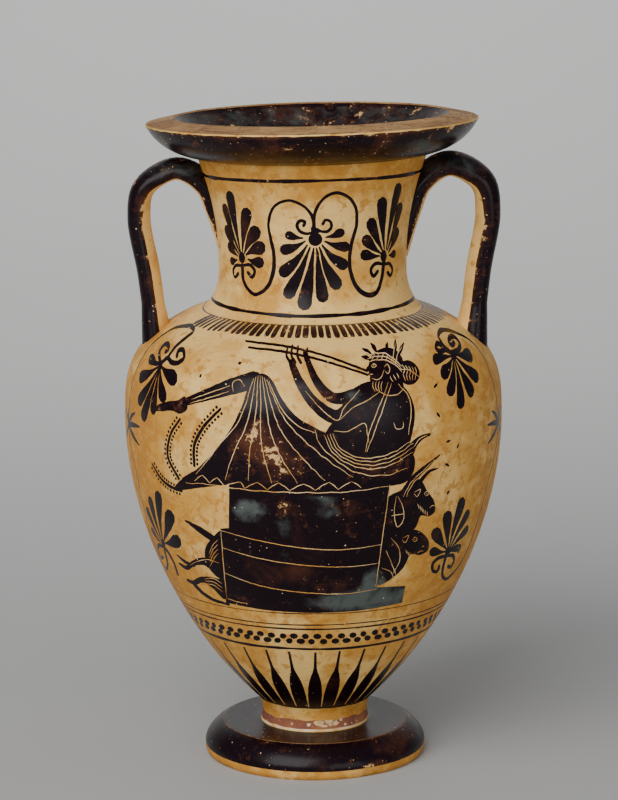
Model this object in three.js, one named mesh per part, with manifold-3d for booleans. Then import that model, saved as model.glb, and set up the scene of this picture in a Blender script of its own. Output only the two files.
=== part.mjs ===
// A Greek neck amphora of fired clay: a wheel-thrown body with a broad shoulder, a concave neck,
// a heavy bowl-shaped mouth, a disc foot on a short stem, and two upright handles that run from
// under the mouth to the shoulder. Thrown parts and handles were luted together and fired as one.
// Millimetres, +Z up, the handles on the X axis, the origin on the ground under the foot's middle.
import * as THREE from "three";
import { mergeVertices } from "three/addons/utils/BufferGeometryUtils.js";
import Module from "manifold-3d";

// Foot: a disc with a rounded side, a flat top and a conical hollow under it.
const footRestRadius = 51.0; // outer edge of the ring that it stands on
const footWidestRadius = 51.6;
const footWidestHeight = 4.0;
const footRidgeRadius = 43.2; // where the rounded side meets the flat top
const footHeight = 15.2;
const footRestRingWidth = 10.0;
const footHollowDepth = 11.5;

// Stem: the short reserved collar between foot and body.
const stemFootRadius = 25.4;
const stemWaistRadius = 24.5;
const stemTopRadius = 25.7;
const stemHeight = 11.1;

// Body, from the stem's top to the foot of the neck.
const bodyRadius = 86.8;
const bodyHeight = 184.7;
const bellyRise = 134.9; // from the stem's top up to the widest ring
const lowerWallLean = 46.8; // degrees from upright, just above the stem
const lowerWallRun = 53.8; // how far that lean carries on before the wall turns upright
const bellyRunDown = 44.6; // how far the upright stretch reaches down from the widest ring
const bellyRunUp = 19.9; // and up from it
const shoulderRadius = 62.4; // the ring where the shoulder flattens
const shoulderDrop = 4.9; // that ring, below the foot of the neck
const shoulderLean = 28.5; // degrees above level, at that ring
const shoulderRun = 26.6;
const wall = 5.6;
const floorThickness = 11.0; // clay between the foot's hollow and the inside

// Neck: a concave drum.
const neckFootRadius = 49.6;
const neckWaistRadius = 42.9;
const neckWaistRise = 17.7; // from the foot of the neck up to its narrowest ring
const neckTopRadius = 52.3;
const neckHeight = 70.3;
const neckWall = 5.5;

// Mouth: a shallow bowl with a broad lip that slopes down outwards.
const mouthRootRadius = 54.4;
const mouthRadius = 75.6;
const mouthHeight = 15.4; // from the neck's top up to the lip's outer edge
const mouthBulge = 4.6; // how far the bowl swells past a straight cone
const lipWidth = 12.7;
const lipRise = 2.7; // the inner edge stands higher than the outer one
const lipRounding = 1.4;
const throatRise = 5.5; // the narrow stretch of the inside ends this far under the neck's top

// The mouth came out of the joining a little askew: this much in all, growing up the neck.
const mouthTiltToFront = 1.45; // degrees, the front stands higher
const mouthTiltToRight = 1.1; // degrees, the right stands higher

// Handles: oval rods in the XZ plane. Heights are measured down from the neck's top.
const handleThickness = { left: 10.0, right: 11.0 }; // seen from the front
const handleShift = { left: 0.9, right: 0 }; // the left one sits closer in
const handleWidth = 15.4; // front to back
const handleRidge = 0.7; // a low rib down the outer face
const handleTailRadius = -6.4; // the lower end, against the neck's narrowest ring
const handleTailDrop = 45.0;
const handleRootRadius = -0.4; // halfway up the root, against the same ring
const handleRootDrop = 27.0;
const handleNeckRadius = 6.4; // where it leaves the neck, against the same ring
const handleNeckDrop = 12.8;
const handleCrownRadius = 62.6; // centre line at the top of the arch
const handleCrownDrop = 5.4;
const handleElbowRadius = 77.6;
const handleElbowDrop = 13.8;
const handleReachRadius = 80.3; // the outermost point of the centre line
const handleReachDrop = 28.0;
const handleLegRadius = 76.2; // part way down the upright leg
const handleLegDrop = 53.7;
const handleLandingRadius = 73.6; // where it lands on the shoulder
const handleLandingRise = 5.0; // the leg stays upright down to this height above the shoulder
const handleSink = 8.0; // how deep its end goes into the shoulder's clay
const handleFlare = 0.46; // how much its landing widens, as a share
const handleFlareLength = 0.15; // over this share of the length
const handleRootSwell = 0.22; // how much thicker its root is, as a share
const handleRootLength = 0.34; // over this share of the length

// Fineness of the facets.
const turnSegments = 52;
const handleSides = 14;
const handleSteps = 26;

const clay = new THREE.MeshStandardMaterial({ color: 0xc79a5e, roughness: 0.62, metalness: 0 });

// Heights of the joints, stacked from the ground up.
const stemBase = footHeight;
const bodyBase = stemBase + stemHeight;
const bellyHeight = bodyBase + bellyRise;
const neckBase = bodyBase + bodyHeight;
const shoulderHeight = neckBase - shoulderDrop;
const neckWaistHeight = neckBase + neckWaistRise;
const neckTop = neckBase + neckHeight;
const lipEdge = neckTop + mouthHeight;
const lipTop = lipEdge + lipRise;
const floorHeight = footHollowDepth + floorThickness;

const point = (radius, height) => new THREE.Vector2(radius, height);
const lean = (degrees) => THREE.MathUtils.degToRad(degrees);

// The body's outside, as two curves that meet upright at the widest ring.
const lowerWall = new THREE.CubicBezierCurve(
  point(stemTopRadius, bodyBase),
  point(
    stemTopRadius + Math.sin(lean(lowerWallLean)) * lowerWallRun,
    bodyBase + Math.cos(lean(lowerWallLean)) * lowerWallRun,
  ),
  point(bodyRadius, bellyHeight - bellyRunDown),
  point(bodyRadius, bellyHeight),
);
const upperWall = new THREE.CubicBezierCurve(
  point(bodyRadius, bellyHeight),
  point(bodyRadius, bellyHeight + bellyRunUp),
  point(
    shoulderRadius + Math.cos(lean(shoulderLean)) * shoulderRun,
    shoulderHeight - Math.sin(lean(shoulderLean)) * shoulderRun,
  ),
  point(shoulderRadius, shoulderHeight),
);
const shoulderTop = new THREE.QuadraticBezierCurve(
  point(shoulderRadius, shoulderHeight),
  point((shoulderRadius + neckFootRadius) / 2, neckBase - shoulderDrop * 0.27),
  point(neckFootRadius, neckBase),
);

// The neck's outside: an arc above the narrowest ring, and a tighter sweep below it.
const neckFlare = new THREE.QuadraticBezierCurve(
  point(neckWaistRadius, neckWaistHeight),
  point(neckWaistRadius, (neckWaistHeight + neckTop) / 2),
  point(neckTopRadius, neckTop),
);
const neckFoot = new THREE.QuadraticBezierCurve(
  point(neckFootRadius, neckBase),
  point(neckWaistRadius, neckBase + neckWaistRise * 0.4),
  point(neckWaistRadius, neckWaistHeight),
);

// The mouth's outside swells between its root and the lip's edge.
const mouthBowl = new THREE.QuadraticBezierCurve(
  point(mouthRootRadius, neckTop),
  point((mouthRootRadius + mouthRadius) / 2 + mouthBulge, neckTop + mouthHeight / 2 - mouthBulge),
  point(mouthRadius, lipEdge),
);

const withoutFirst = (points) => points.slice(1);
const withoutLast = (points) => points.slice(0, -1);

// The same curve moved sideways by the wall's thickness, towards the inside.
function inset(curve, distance, divisions) {
  return Array.from({ length: divisions + 1 }, (_, i) => {
    const place = curve.getPoint(i / divisions);
    const along = curve.getTangent(i / divisions);
    return point(place.x - along.y * distance, place.y + along.x * distance);
  });
}

function footProfile() {
  const restInner = footRestRadius - footRestRingWidth;
  const hollow = new THREE.QuadraticBezierCurve(
    point(0, footHollowDepth),
    point(restInner * 0.75, footHollowDepth * 0.8),
    point(restInner, 0),
  );
  const side = new THREE.CubicBezierCurve(
    point(footWidestRadius, footWidestHeight),
    point(footWidestRadius, footWidestHeight + (footHeight - footWidestHeight) * 0.42),
    point(footRidgeRadius + (footWidestRadius - footRidgeRadius) * 0.4, footHeight - 1.6),
    point(footRidgeRadius, footHeight),
  );
  return [...hollow.getPoints(4), point(footRestRadius, 0), ...side.getPoints(5)];
}

function stemProfile() {
  const collar = new THREE.QuadraticBezierCurve(
    point(stemFootRadius, stemBase),
    point(2 * stemWaistRadius - (stemFootRadius + stemTopRadius) / 2, stemBase + stemHeight / 2),
    point(stemTopRadius, bodyBase),
  );
  return collar.getPoints(3);
}

function outsideProfile() {
  return [
    ...footProfile(),
    ...stemProfile(),
    ...withoutFirst(lowerWall.getPoints(10)),
    ...withoutFirst(upperWall.getPoints(6)),
    ...withoutFirst(shoulderTop.getPoints(2)),
    ...withoutFirst(neckFoot.getPoints(3)),
    ...withoutFirst(neckFlare.getPoints(5)),
    ...mouthBowl.getPoints(5),
    point(mouthRadius - lipWidth, lipTop),
    point(0, lipTop),
  ];
}

// The inside, from the floor to above the lip, where it opens.
function insideProfile() {
  const throatHeight = neckTop - throatRise;
  const throatRadius = neckWaistRadius - neckWall;
  const lower = inset(lowerWall, wall, 7).filter((p) => p.y > floorHeight + wall / 2);
  const upper = inset(upperWall, wall, 5);
  const rimInner = mouthRadius - lipWidth;
  const bowl = new THREE.QuadraticBezierCurve(
    point(throatRadius, throatHeight),
    point(throatRadius + (rimInner - throatRadius) * 0.35, neckTop + mouthHeight * 0.25),
    point(rimInner - lipRounding, lipTop - lipRounding),
  );
  return [
    point(0, floorHeight),
    point(lower[0].x * 0.6, floorHeight + wall / 8),
    ...lower,
    ...withoutFirst(upper),
    point(throatRadius + wall, neckBase - wall),
    point(throatRadius, neckBase + wall),
    ...bowl.getPoints(4),
    point(rimInner, lipTop),
    point(rimInner, lipTop + lipRounding),
    point(0, lipTop + lipRounding),
  ];
}

function turned(profile) {
  return new THREE.LatheGeometry(profile, turnSegments).rotateX(Math.PI / 2);
}

// The height of the shoulder's surface at a radius, found by halving along the curve.
function shoulderHeightAt(radius) {
  let low = 0;
  let high = 1;
  for (let i = 0; i < 30; i++) {
    const middle = (low + high) / 2;
    if (upperWall.getPoint(middle).x > radius) low = middle;
    else high = middle;
  }
  return upperWall.getPoint(low).y;
}

function handleLine() {
  const landing = shoulderHeightAt(handleLandingRadius);
  return new THREE.CatmullRomCurve3(
    [
      [neckWaistRadius + handleTailRadius, neckTop - handleTailDrop],
      [neckWaistRadius + handleRootRadius, neckTop - handleRootDrop],
      [neckWaistRadius + handleNeckRadius, neckTop - handleNeckDrop],
      [handleCrownRadius, neckTop - handleCrownDrop],
      [handleElbowRadius, neckTop - handleElbowDrop],
      [handleReachRadius, neckTop - handleReachDrop],
      [handleLegRadius, neckTop - handleLegDrop],
      [handleLandingRadius, landing + handleLandingRise],
      [handleLandingRadius - 1.4, landing - handleSink],
    ].map(([radius, height]) => new THREE.Vector3(radius, 0, height)),
    false,
    "centripetal",
  );
}

// One handle: a cylinder bent along the centre line, oval, ribbed outside, wider where it lands.
function handle(side, thickness, shift) {
  const line = handleLine();
  const rod = new THREE.CylinderGeometry(1, 1, 1, handleSides, handleSteps);
  const places = rod.getAttribute("position");
  const local = new THREE.Vector3();
  for (let i = 0; i < places.count; i++) {
    local.fromBufferAttribute(places, i);
    const share = THREE.MathUtils.clamp(0.5 - local.y, 0, 1);
    const centre = line.getPointAt(share);
    const along = line.getTangentAt(share);
    const outward = new THREE.Vector3(-along.z, 0, along.x);
    const fromEnd = (1 - share) / handleFlareLength;
    const fromRoot = share / handleRootLength;
    const swell = handleRootSwell * Math.max(0, 1 - fromRoot);
    const flare = 1 + handleFlare * Math.max(0, 1 - fromEnd) + swell;
    const rib = local.x > 0 ? handleRidge * local.x ** 6 : 0;
    centre.addScaledVector(outward, local.x * (thickness / 2) * flare + rib);
    centre.y = local.z * (handleWidth / 2) * flare;
    places.setXYZ(i, (centre.x - shift) * side, centre.y, centre.z);
  }
  return rod;
}

const wasm = await Module();
wasm.setup();

// A three.js geometry as a closed solid whose faces point out.
function solid(geometry) {
  const bare = geometry.clone();
  bare.deleteAttribute("normal");
  bare.deleteAttribute("uv");
  const merged = mergeVertices(bare, 1e-3);
  const corners = merged.index.array;
  const facing = (order) => {
    const faces = [];
    for (let i = 0; i < corners.length; i += 3) {
      const face = order.map((k) => corners[i + k]);
      if (new Set(face).size === 3) faces.push(...face);
    }
    return new wasm.Manifold(
      new wasm.Mesh({
        numProp: 3,
        vertProperties: Float32Array.from(merged.getAttribute("position").array),
        triVerts: Uint32Array.from(faces),
      }),
    );
  };
  const asBuilt = facing([0, 1, 2]);
  return asBuilt.volume() > 0 ? asBuilt : facing([0, 2, 1]);
}

// The lean of the mouth: none at the neck's foot, all of it at the lip.
function leanMouth(places) {
  const front = Math.tan(lean(mouthTiltToFront));
  const right = Math.tan(lean(mouthTiltToRight));
  for (let i = 0; i < places.count; i++) {
    const share = THREE.MathUtils.clamp((places.getZ(i) - neckBase) / (lipEdge - neckBase), 0, 1);
    const lift = (right * places.getX(i) - front * places.getY(i)) * share;
    places.setZ(i, places.getZ(i) + lift);
  }
}

function vessel() {
  const whole = solid(turned(outsideProfile()))
    .add(solid(handle(-1, handleThickness.left, handleShift.left)))
    .add(solid(handle(1, handleThickness.right, handleShift.right)))
    .subtract(solid(turned(insideProfile())));
  const mesh = whole.getMesh();
  const geometry = new THREE.BufferGeometry();
  geometry.setAttribute("position", new THREE.Float32BufferAttribute(mesh.vertProperties, 3));
  geometry.setIndex(new THREE.Uint32BufferAttribute(mesh.triVerts, 1));
  leanMouth(geometry.getAttribute("position"));
  geometry.computeVertexNormals();
  return geometry;
}

const amphora = new THREE.Mesh(vessel(), clay);
amphora.name = "amphora";

const part = new THREE.Group();
part.add(amphora);

export default part;
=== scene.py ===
import math

import bpy
import numpy as np
from mathutils import Matrix, Vector, noise
from mathutils.geometry import delaunay_2d_cdt


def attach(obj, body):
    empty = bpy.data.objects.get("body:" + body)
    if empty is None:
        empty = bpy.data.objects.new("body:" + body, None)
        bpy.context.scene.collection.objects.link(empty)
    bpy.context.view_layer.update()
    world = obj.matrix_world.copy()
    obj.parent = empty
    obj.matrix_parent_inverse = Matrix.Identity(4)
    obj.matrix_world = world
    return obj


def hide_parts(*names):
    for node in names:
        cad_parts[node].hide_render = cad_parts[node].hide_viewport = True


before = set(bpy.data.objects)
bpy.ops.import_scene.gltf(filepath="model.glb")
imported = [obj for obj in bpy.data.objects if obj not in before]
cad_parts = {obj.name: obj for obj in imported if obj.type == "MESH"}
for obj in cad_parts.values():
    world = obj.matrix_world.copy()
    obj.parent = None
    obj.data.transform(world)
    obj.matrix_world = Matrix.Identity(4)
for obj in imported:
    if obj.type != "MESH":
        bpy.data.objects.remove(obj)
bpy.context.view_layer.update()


# The wall: stem, body and neck, thrown in fired clay and smoothed on the wheel.
# Sizes are in millimetres. The wall is drawn as one line of (radius, height) from the stem
# to the mouth, and a place on it is given by its run along that line and an angle round it.

foot_height = 15.2
stem_foot, stem_waist, stem_top, body_base = 25.4, 24.5, 25.7, 26.3
body_radius, belly_height = 86.8, 161.2
shoulder_radius, shoulder_height = 62.4, 206.1
neck_foot, neck_base, neck_waist, waist_height = 49.6, 211.0, 42.9, 228.7
neck_radius, neck_top = 52.3, 281.3
lip_edge = 296.7


def bezier(*controls, steps=24):
    """A Bezier curve from its first control point to its last."""
    places = []
    for k in range(steps + 1):
        line = [Vector(c) for c in controls]
        while len(line) > 1:
            line = [a.lerp(b, k / steps) for a, b in zip(line, line[1:])]
        places.append(tuple(line[0]))
    return places


stem = bezier((stem_foot, foot_height),
              (2 * stem_waist - (stem_foot + stem_top) / 2, (foot_height + body_base) / 2),
              (stem_top, body_base))
lower_body = bezier((stem_top, body_base), (64.9, 63.1), (body_radius, 116.6),
                    (body_radius, belly_height), steps=160)
upper_body = bezier((body_radius, belly_height), (body_radius, 181.1), (85.8, 193.4),
                    (shoulder_radius, shoulder_height), steps=80)
shoulder = bezier((shoulder_radius, shoulder_height), (56.0, 209.7), (neck_foot, neck_base))
lower_neck = bezier((neck_foot, neck_base), (neck_waist, 218.1), (neck_waist, waist_height))
upper_neck = bezier((neck_waist, waist_height), (neck_waist, 255.0), (neck_radius, neck_top),
                    steps=60)
wall_line = np.array(stem + lower_body[1:] + upper_body[1:] + shoulder[1:] + lower_neck[1:]
                     + upper_neck[1:])

# How far along the line each of its places is, and which way the line runs there.
wall_run = np.concatenate([[0], np.cumsum(np.hypot(*np.diff(wall_line, axis=0).T))])
wall_slope = np.gradient(wall_line, wall_run, axis=0)


def radius_at(height):
    """The wall's radius at a height."""
    return float(np.interp(height, wall_line[:, 1], wall_line[:, 0]))


def run_at(height):
    """How far along the wall a height is reached."""
    return float(np.interp(height, wall_line[:, 1], wall_run))


# The lines of the painting: a brush loaded with slip, drawn on the leather-hard wall.
# A drawing is laid out unrolled: u along the circumference at its own height, z upwards.
# turn is the angle of the drawing's middle, with 0 at the front.

FRONT, BACK = 0.0, math.pi
SPREAD = 80.0  # what one radian measures in the unrolled sheet
waver = 0.16  # how far the hand strays
BARE, THINNED, PURPLE, BLACK, CREAM, SCRATCHED = range(6)  # a later coat lies over an earlier
strokes = []  # (coat, outline in the sheet, the groove's middle or None)
noise.seed_set(14)  # the hand wavers in the same way each time


def flow(points, step=1.1, closed=False):
    """A smooth line through the points, eased so that it never loops between two of them."""
    p = np.array(points, float)
    ends = [p[-1:], p, p[:2]] if closed else [[2 * p[0] - p[1]], p, [2 * p[-1] - p[-2]]]
    p = np.concatenate(ends)
    line = []
    for a, b, c, d in zip(p, p[1:], p[2:], p[3:]):
        tb = math.dist(a, b) ** 0.5
        tc = tb + math.dist(b, c) ** 0.5
        td = tc + math.dist(c, d) ** 0.5
        count = max(1, math.ceil(math.dist(b, c) / step))
        for t in tb + (tc - tb) * np.arange(count) / count:
            ab = a + (b - a) * t / tb
            bc = b + (c - b) * (t - tb) / (tc - tb)
            cd = c + (d - c) * (t - tc) / (td - tc)
            abc = ab + (bc - ab) * t / tc
            bcd = bc + (cd - bc) * (t - tb) / (td - tb)
            line.append(abc + (bcd - abc) * (t - tb) / (tc - tb))
    if not closed:
        line.append(p[-2])
    return np.array(line)


def sheet_place(u, z, turn):
    """Where a point of a drawing falls in the unrolled sheet, with the hand's small waver."""
    shake = noise.noise_vector(Vector((u * 0.45, z * 0.45, turn))) * waver
    z = z + shake.y
    return ((u + shake.x) / radius_at(z) + turn) * SPREAD, run_at(z)


def on_sheet(line, turn, closed):
    """A line of a drawing brought onto the sheet, with no edge too long for the curved wall."""
    longest = 2.4
    line = [tuple(p) for p in line]
    nexts = line[1:] + line[:1] if closed else line[1:]
    places = []
    for a, b in zip(line, nexts):
        count = max(1, math.ceil(math.dist(a, b) / longest))
        places += [sheet_place(a[0] + (b[0] - a[0]) * k / count,
                               a[1] + (b[1] - a[1]) * k / count, turn) for k in range(count)]
    return places if closed else places + [sheet_place(*line[-1], turn)]


def area(coat, outline, turn=FRONT, smooth=True):
    """A filled shape."""
    line = flow(outline, 1.6, closed=True) if smooth else outline
    strokes.append((coat, on_sheet(line, turn, True), None))


def brush(coat, path, widths, turn=FRONT):
    """One stroke along a smooth path. Its width runs evenly through the widths given."""
    line = flow(path)
    along = np.concatenate([[0], np.cumsum(np.hypot(*np.diff(line, axis=0).T))])
    half = np.interp(along / along[-1], np.linspace(0, 1, len(widths)), widths) / 2
    way = np.gradient(line, axis=0)
    way /= np.hypot(way[:, 0], way[:, 1])[:, None]
    side = np.stack([-way[:, 1], way[:, 0]], 1)

    def cap(k, sense):
        bows = (0.25, 0.5, 0.75) if half[k] > 0.45 else (0.5,)
        return [line[k] + sense * half[k] * (side[k] * math.cos(b * math.pi)
                                             + way[k] * math.sin(b * math.pi)) for b in bows]

    outline = list(line + side * half[:, None]) + cap(-1, 1)
    outline += list((line - side * half[:, None])[::-1]) + cap(0, -1)
    middle = None
    if coat == SCRATCHED:
        middle = on_sheet(line, turn, False)
    strokes.append((coat, on_sheet(outline, turn, True), middle))


def scratch(path, width=0.36, turn=FRONT):
    """A line incised through the slip with a point."""
    brush(SCRATCHED, path, [width * 0.5, width, width * 1.1, width, width * 0.5], turn)


def dab(coat, centre, across, high=None, turn=FRONT):
    """A dab of the brush."""
    high = high or across
    area(coat, [(centre[0] + across / 2 * math.cos(a), centre[1] + high / 2 * math.sin(a))
                for a in np.arange(8) * math.pi / 4], turn)


def petals(coat, roots_and_tips, turn=FRONT):
    """Palmette petals, narrow at the root and full and round at the tip. Each is given as
    root u, root z, tip u, tip z, breadth, and how far its middle bows aside."""
    for root_u, root_z, tip_u, tip_z, breadth, bow in roots_and_tips:
        root = np.array((root_u, root_z))
        tip = np.array((tip_u, tip_z))
        reach = tip - root
        long = math.hypot(*reach)
        tip = tip - reach * (breadth / 2 / long)
        middle = (root + tip) / 2 + np.array((-reach[1], reach[0])) / long * bow
        brush(coat, [root, middle, tip], [0.8, breadth * 0.3, breadth * 0.56, breadth * 0.86,
                                          breadth], turn)


def all_round(coat, height, width, rise=0.0, uneven=0.14):
    """A line drawn with the vessel turning on the wheel, from the seam round to the seam."""
    low, high, steps = [], [], 240
    for k in range(steps + 1):
        turn = (k / steps * 2 - 0.5) * math.pi
        way = Vector((math.cos(turn) * 2.2, math.sin(turn) * 2.2, height))
        middle = run_at(height + rise * math.sin(turn) ** 2 + noise.noise(way) * uneven)
        half = width / 2 * (1 + 0.5 * noise.noise(way * 2.5))
        low.append((turn * SPREAD, middle - half))
        high.append((turn * SPREAD, middle + half))
    strokes.append((coat, low + high[::-1], None))


# The neck's ornament: a hanging palmette between two standing ones, joined by one looping
# tendril, with a thin line above and below. It is the same on both faces of the neck.

neck_hanging = [(-4.4, 248.6, -12.6, 250.2, 4.2, 0.3), (-3.4, 247.2, -14.8, 242.2, 5.2, 0.6),
                (-2.4, 245.4, -14.8, 231.2, 5.8, 0.8), (-1.2, 244.4, -12.0, 221.4, 5.9, 0.6),
                (0.4, 244.0, -4.4, 216.6, 6.6, 0.3), (1.8, 244.0, 4.6, 219.8, 5.8, -0.2),
                (3.0, 244.4, 11.6, 225.2, 5.9, -0.8), (4.2, 245.4, 15.6, 234.4, 5.4, -0.9),
                (5.2, 247.0, 17.0, 243.4, 4.8, -0.5), (5.8, 248.8, 14.6, 251.2, 4.2, -0.4)]
neck_left = [(-36.5, 240.5, -42.8, 268.6, 6.2, 0.4), (-35.3, 240.8, -31.4, 261.6, 6.6, 0.3),
             (-34.0, 240.2, -25.6, 253.2, 6.8, 0.5), (-33.0, 239.6, -22.0, 245.0, 6.6, 0.4),
             (-31.8, 237.8, -22.6, 236.4, 5.4, -0.4), (-37.2, 240.4, -48.0, 262.0, 5.4, 0.6),
             (-37.8, 239.6, -48.2, 251.6, 5.4, 0.5), (-38.5, 238.6, -46.6, 243.4, 5.0, 0.3),
             (-39.0, 236.8, -45.0, 235.2, 4.0, 0.2)]
neck_right = [(37.4, 240.8, 45.0, 270.6, 5.8, 0.4), (36.0, 241.2, 33.6, 265.2, 6.4, 0.3),
              (38.2, 240.4, 48.0, 261.2, 5.6, -0.5), (35.0, 240.4, 26.6, 256.0, 6.0, 0.4),
              (34.0, 239.4, 23.2, 248.0, 5.6, 0.4), (33.0, 238.4, 22.0, 240.2, 5.2, 0.3),
              (39.0, 239.4, 47.0, 249.6, 5.2, -0.3), (39.5, 238.0, 45.4, 238.2, 4.0, -0.2)]

for turn in (FRONT, BACK):
    petals(BLACK, neck_hanging, turn)
    dab(BLACK, (1.2, 248.0), 6.2, turn=turn)
    area(BLACK, [(-0.6, 253.6), (2.6, 253.0), (4.4, 251.4), (1.2, 250.8), (-0.6, 251.4)], turn)
    brush(BLACK, [(0.6, 251.2), (-3.0, 250.6), (-6.0, 252.0), (-6.9, 254.6), (-5.4, 256.6),
                  (-3.4, 255.8), (-3.9, 254.2)], [1.2, 1.6, 1.5, 1.6], turn)
    brush(BLACK, [(3.0, 251.6), (6.4, 251.4), (8.4, 253.4), (7.8, 255.9), (5.6, 256.5),
                  (4.6, 255.0)], [1.2, 1.5, 1.3, 1.6], turn)
    brush(BLACK, [(-35.5, 234.5), (-34.5, 227.2), (-28.0, 222.3), (-21.5, 225.8), (-18.4, 232.0),
                  (-17.8, 241.0), (-19.6, 249.5), (-20.2, 255.0), (-17.6, 262.4), (-11.0, 265.6),
                  (-4.0, 263.0), (0.0, 258.0), (0.6, 252.0)],
          [2.3, 1.7, 1.6, 2.0, 1.8, 1.4, 1.4, 1.3, 1.3, 1.8], turn)
    brush(BLACK, [(36.0, 236.0), (34.4, 228.0), (31.0, 222.4), (25.6, 222.0), (20.4, 225.6),
                  (17.2, 233.2), (16.9, 240.0), (18.2, 247.0), (20.2, 254.0), (19.6, 261.6),
                  (16.0, 266.6), (10.0, 268.7), (4.2, 265.6), (0.9, 259.4), (0.6, 252.0)],
          [2.3, 2.1, 2.3, 1.8, 1.8, 1.7, 1.5, 1.6, 1.4, 1.8], turn)
    for mirror, standing in ((-1, neck_left), (1, neck_right)):
        petals(BLACK, standing, turn)
        dab(BLACK, (35.7 * mirror, 238.2), 4.4, 5.4, turn)
        brush(BLACK, [(35.2 * mirror, 234.6), (30.4 * mirror, 235.2), (27.9 * mirror, 232.6),
                      (29.4 * mirror, 229.8), (31.8 * mirror, 231.6)], [1.3, 1.9, 1.6, 1.9], turn)
        brush(BLACK, [(36.4 * mirror, 234.4), (40.2 * mirror, 234.0), (42.4 * mirror, 231.2),
                      (40.8 * mirror, 228.6), (38.6 * mirror, 230.4)], [1.3, 1.8, 1.5, 1.8], turn)
all_round(BLACK, 274.4, 1.6, rise=-1.1, uneven=0.25)
all_round(BLACK, 214.4, 1.7, rise=1.0, uneven=0.25)


# The shoulder's band of tongues: short strokes of slip that hang from a thin line, laid on
# with a thinned brush so that they fired dark brown. The band breaks off by one handle.

tongue_count, tongue_root, tongue_middle, tongue_tip = 106, 50.4, 55, 60.8
left_handle, bare_reach = -math.pi / 2, math.radians(25)


def shoulder_run(radius):
    """The run at which the shoulder has narrowed to this radius."""
    upper = wall_run > run_at(belly_height)
    below = wall_run < run_at(waist_height)
    part = upper & below
    return float(np.interp(-radius, -wall_line[part, 0], wall_run[part]))


for k in range(tongue_count):
    angle = ((k + 0.5) / tongue_count * 2 - 0.5) * math.pi
    if math.cos(angle - left_handle) > math.cos(bare_reach):
        continue
    chance = noise.noise_vector(Vector((k * 1.7, 3.1, 0.4)))
    width = 1.12 + 0.4 * chance.x
    tip = shoulder_run(tongue_tip + chance.y)
    root = shoulder_run(tongue_root)
    lean = 0.9 * chance.z
    across = SPREAD / tongue_middle
    outline = [(angle * SPREAD + (x + lean * share) * across, root + (tip - root) * share)
               for x, share in ((-width, 0), (-width * 1.1, 0.35), (-width * 1.1, 0.75),
                                (-width * 0.8, 0.97), (0, 1), (width * 0.8, 0.97),
                                (width * 1.1, 0.75), (width * 1.1, 0.35), (width, 0))]
    strokes.append((THINNED, outline, None))
all_round(BLACK, float(np.interp(shoulder_run(tongue_root), wall_run, wall_line[:, 1])), 0.8)


# The ornament beside the handles: on each flank a hanging palmette above and a standing one
# below, tied by a thin tendril that swings out under the handle and ends in a bud.

RIGHT, LEFT = 1, -1
upper_petals = {
    RIGHT: [(71.2, 195.9, 58.2, 196.0, 4.4, -0.2), (71.6, 195.0, 62.4, 188.8, 6.0, 0.3),
            (72.2, 194.4, 66.8, 180.4, 6.2, 0.4), (73.0, 194.2, 74.6, 173.8, 6.0, 0.2),
            (73.8, 194.4, 84.0, 178.0, 6.0, -0.4), (74.6, 195.0, 90.6, 184.0, 5.8, -0.4),
            (75.0, 196.0, 89.8, 193.8, 5.6, -0.3)],
    LEFT: [(-83.4, 191.4, -92.0, 193.0, 3.6, 0.3), (-83.6, 190.8, -101.0, 183.4, 5.6, 0.5),
           (-83.0, 190.0, -99.4, 172.6, 5.8, 0.6), (-82.4, 189.6, -94.4, 166.0, 6.2, 0.4),
           (-81.8, 189.6, -84.8, 170.4, 5.4, 0.3), (-81.2, 190.2, -76.0, 177.0, 6.4, -0.2),
           (-80.6, 191.4, -67.6, 187.0, 6.8, -0.3)]}
lower_petals = {
    RIGHT: [(69.4, 108.8, 77.4, 132.6, 6.4, 0.5), (68.6, 108.8, 66.2, 128.0, 6.6, 0.3),
            (67.6, 108.4, 57.6, 120.4, 6.6, 0.4), (66.8, 107.2, 56.2, 109.4, 5.0, 0.3),
            (70.2, 108.4, 83.6, 125.0, 5.0, 0.5), (70.6, 107.8, 85.2, 116.0, 4.8, 0.3),
            (70.6, 106.4, 79.4, 106.8, 3.6, -0.3)],
    LEFT: [(-83.8, 110.0, -82.6, 135.4, 6.4, 0.4), (-84.8, 110.0, -92.0, 130.8, 5.4, 0.4),
           (-85.6, 109.2, -98.0, 124.0, 4.8, 0.4), (-82.6, 110.0, -72.6, 127.4, 7.6, -0.6),
           (-81.6, 109.0, -67.6, 113.6, 7.2, -0.5), (-86.4, 108.0, -96.4, 113.4, 4.2, 0.3)]}
upper_heart = {RIGHT: (73.2, 196.0), LEFT: (-82.2, 191.6)}
lower_heart = {RIGHT: (69.0, 107.0), LEFT: (-83.8, 108.4)}
upper_scrolls = {
    RIGHT: [[(71.6, 197.2), (68.0, 198.6), (64.2, 198.4), (61.9, 199.8), (63.8, 201.2),
             (66.2, 200.4)],
            [(74.4, 197.0), (79.2, 197.4), (82.2, 199.2), (80.0, 201.6), (75.4, 201.8),
             (72.8, 200.6), (74.8, 199.3), (77.2, 200.0)]],
    LEFT: [[(-82.1, 192.7), (-84.9, 194.6), (-86.3, 196.6), (-84.4, 198.9), (-80.4, 199.2),
            (-78.6, 197.8), (-80.6, 196.9)],
           [(-80.9, 192.9), (-77.4, 195.0), (-73.2, 193.9), (-68.3, 194.4), (-65.1, 196.7),
            (-66.9, 199.0), (-70.3, 198.4), (-70.4, 196.6)],
           [(-84.3, 191.9), (-88.7, 191.7), (-93.3, 191.7), (-94.3, 193.3), (-91.4, 193.7)]]}
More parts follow.
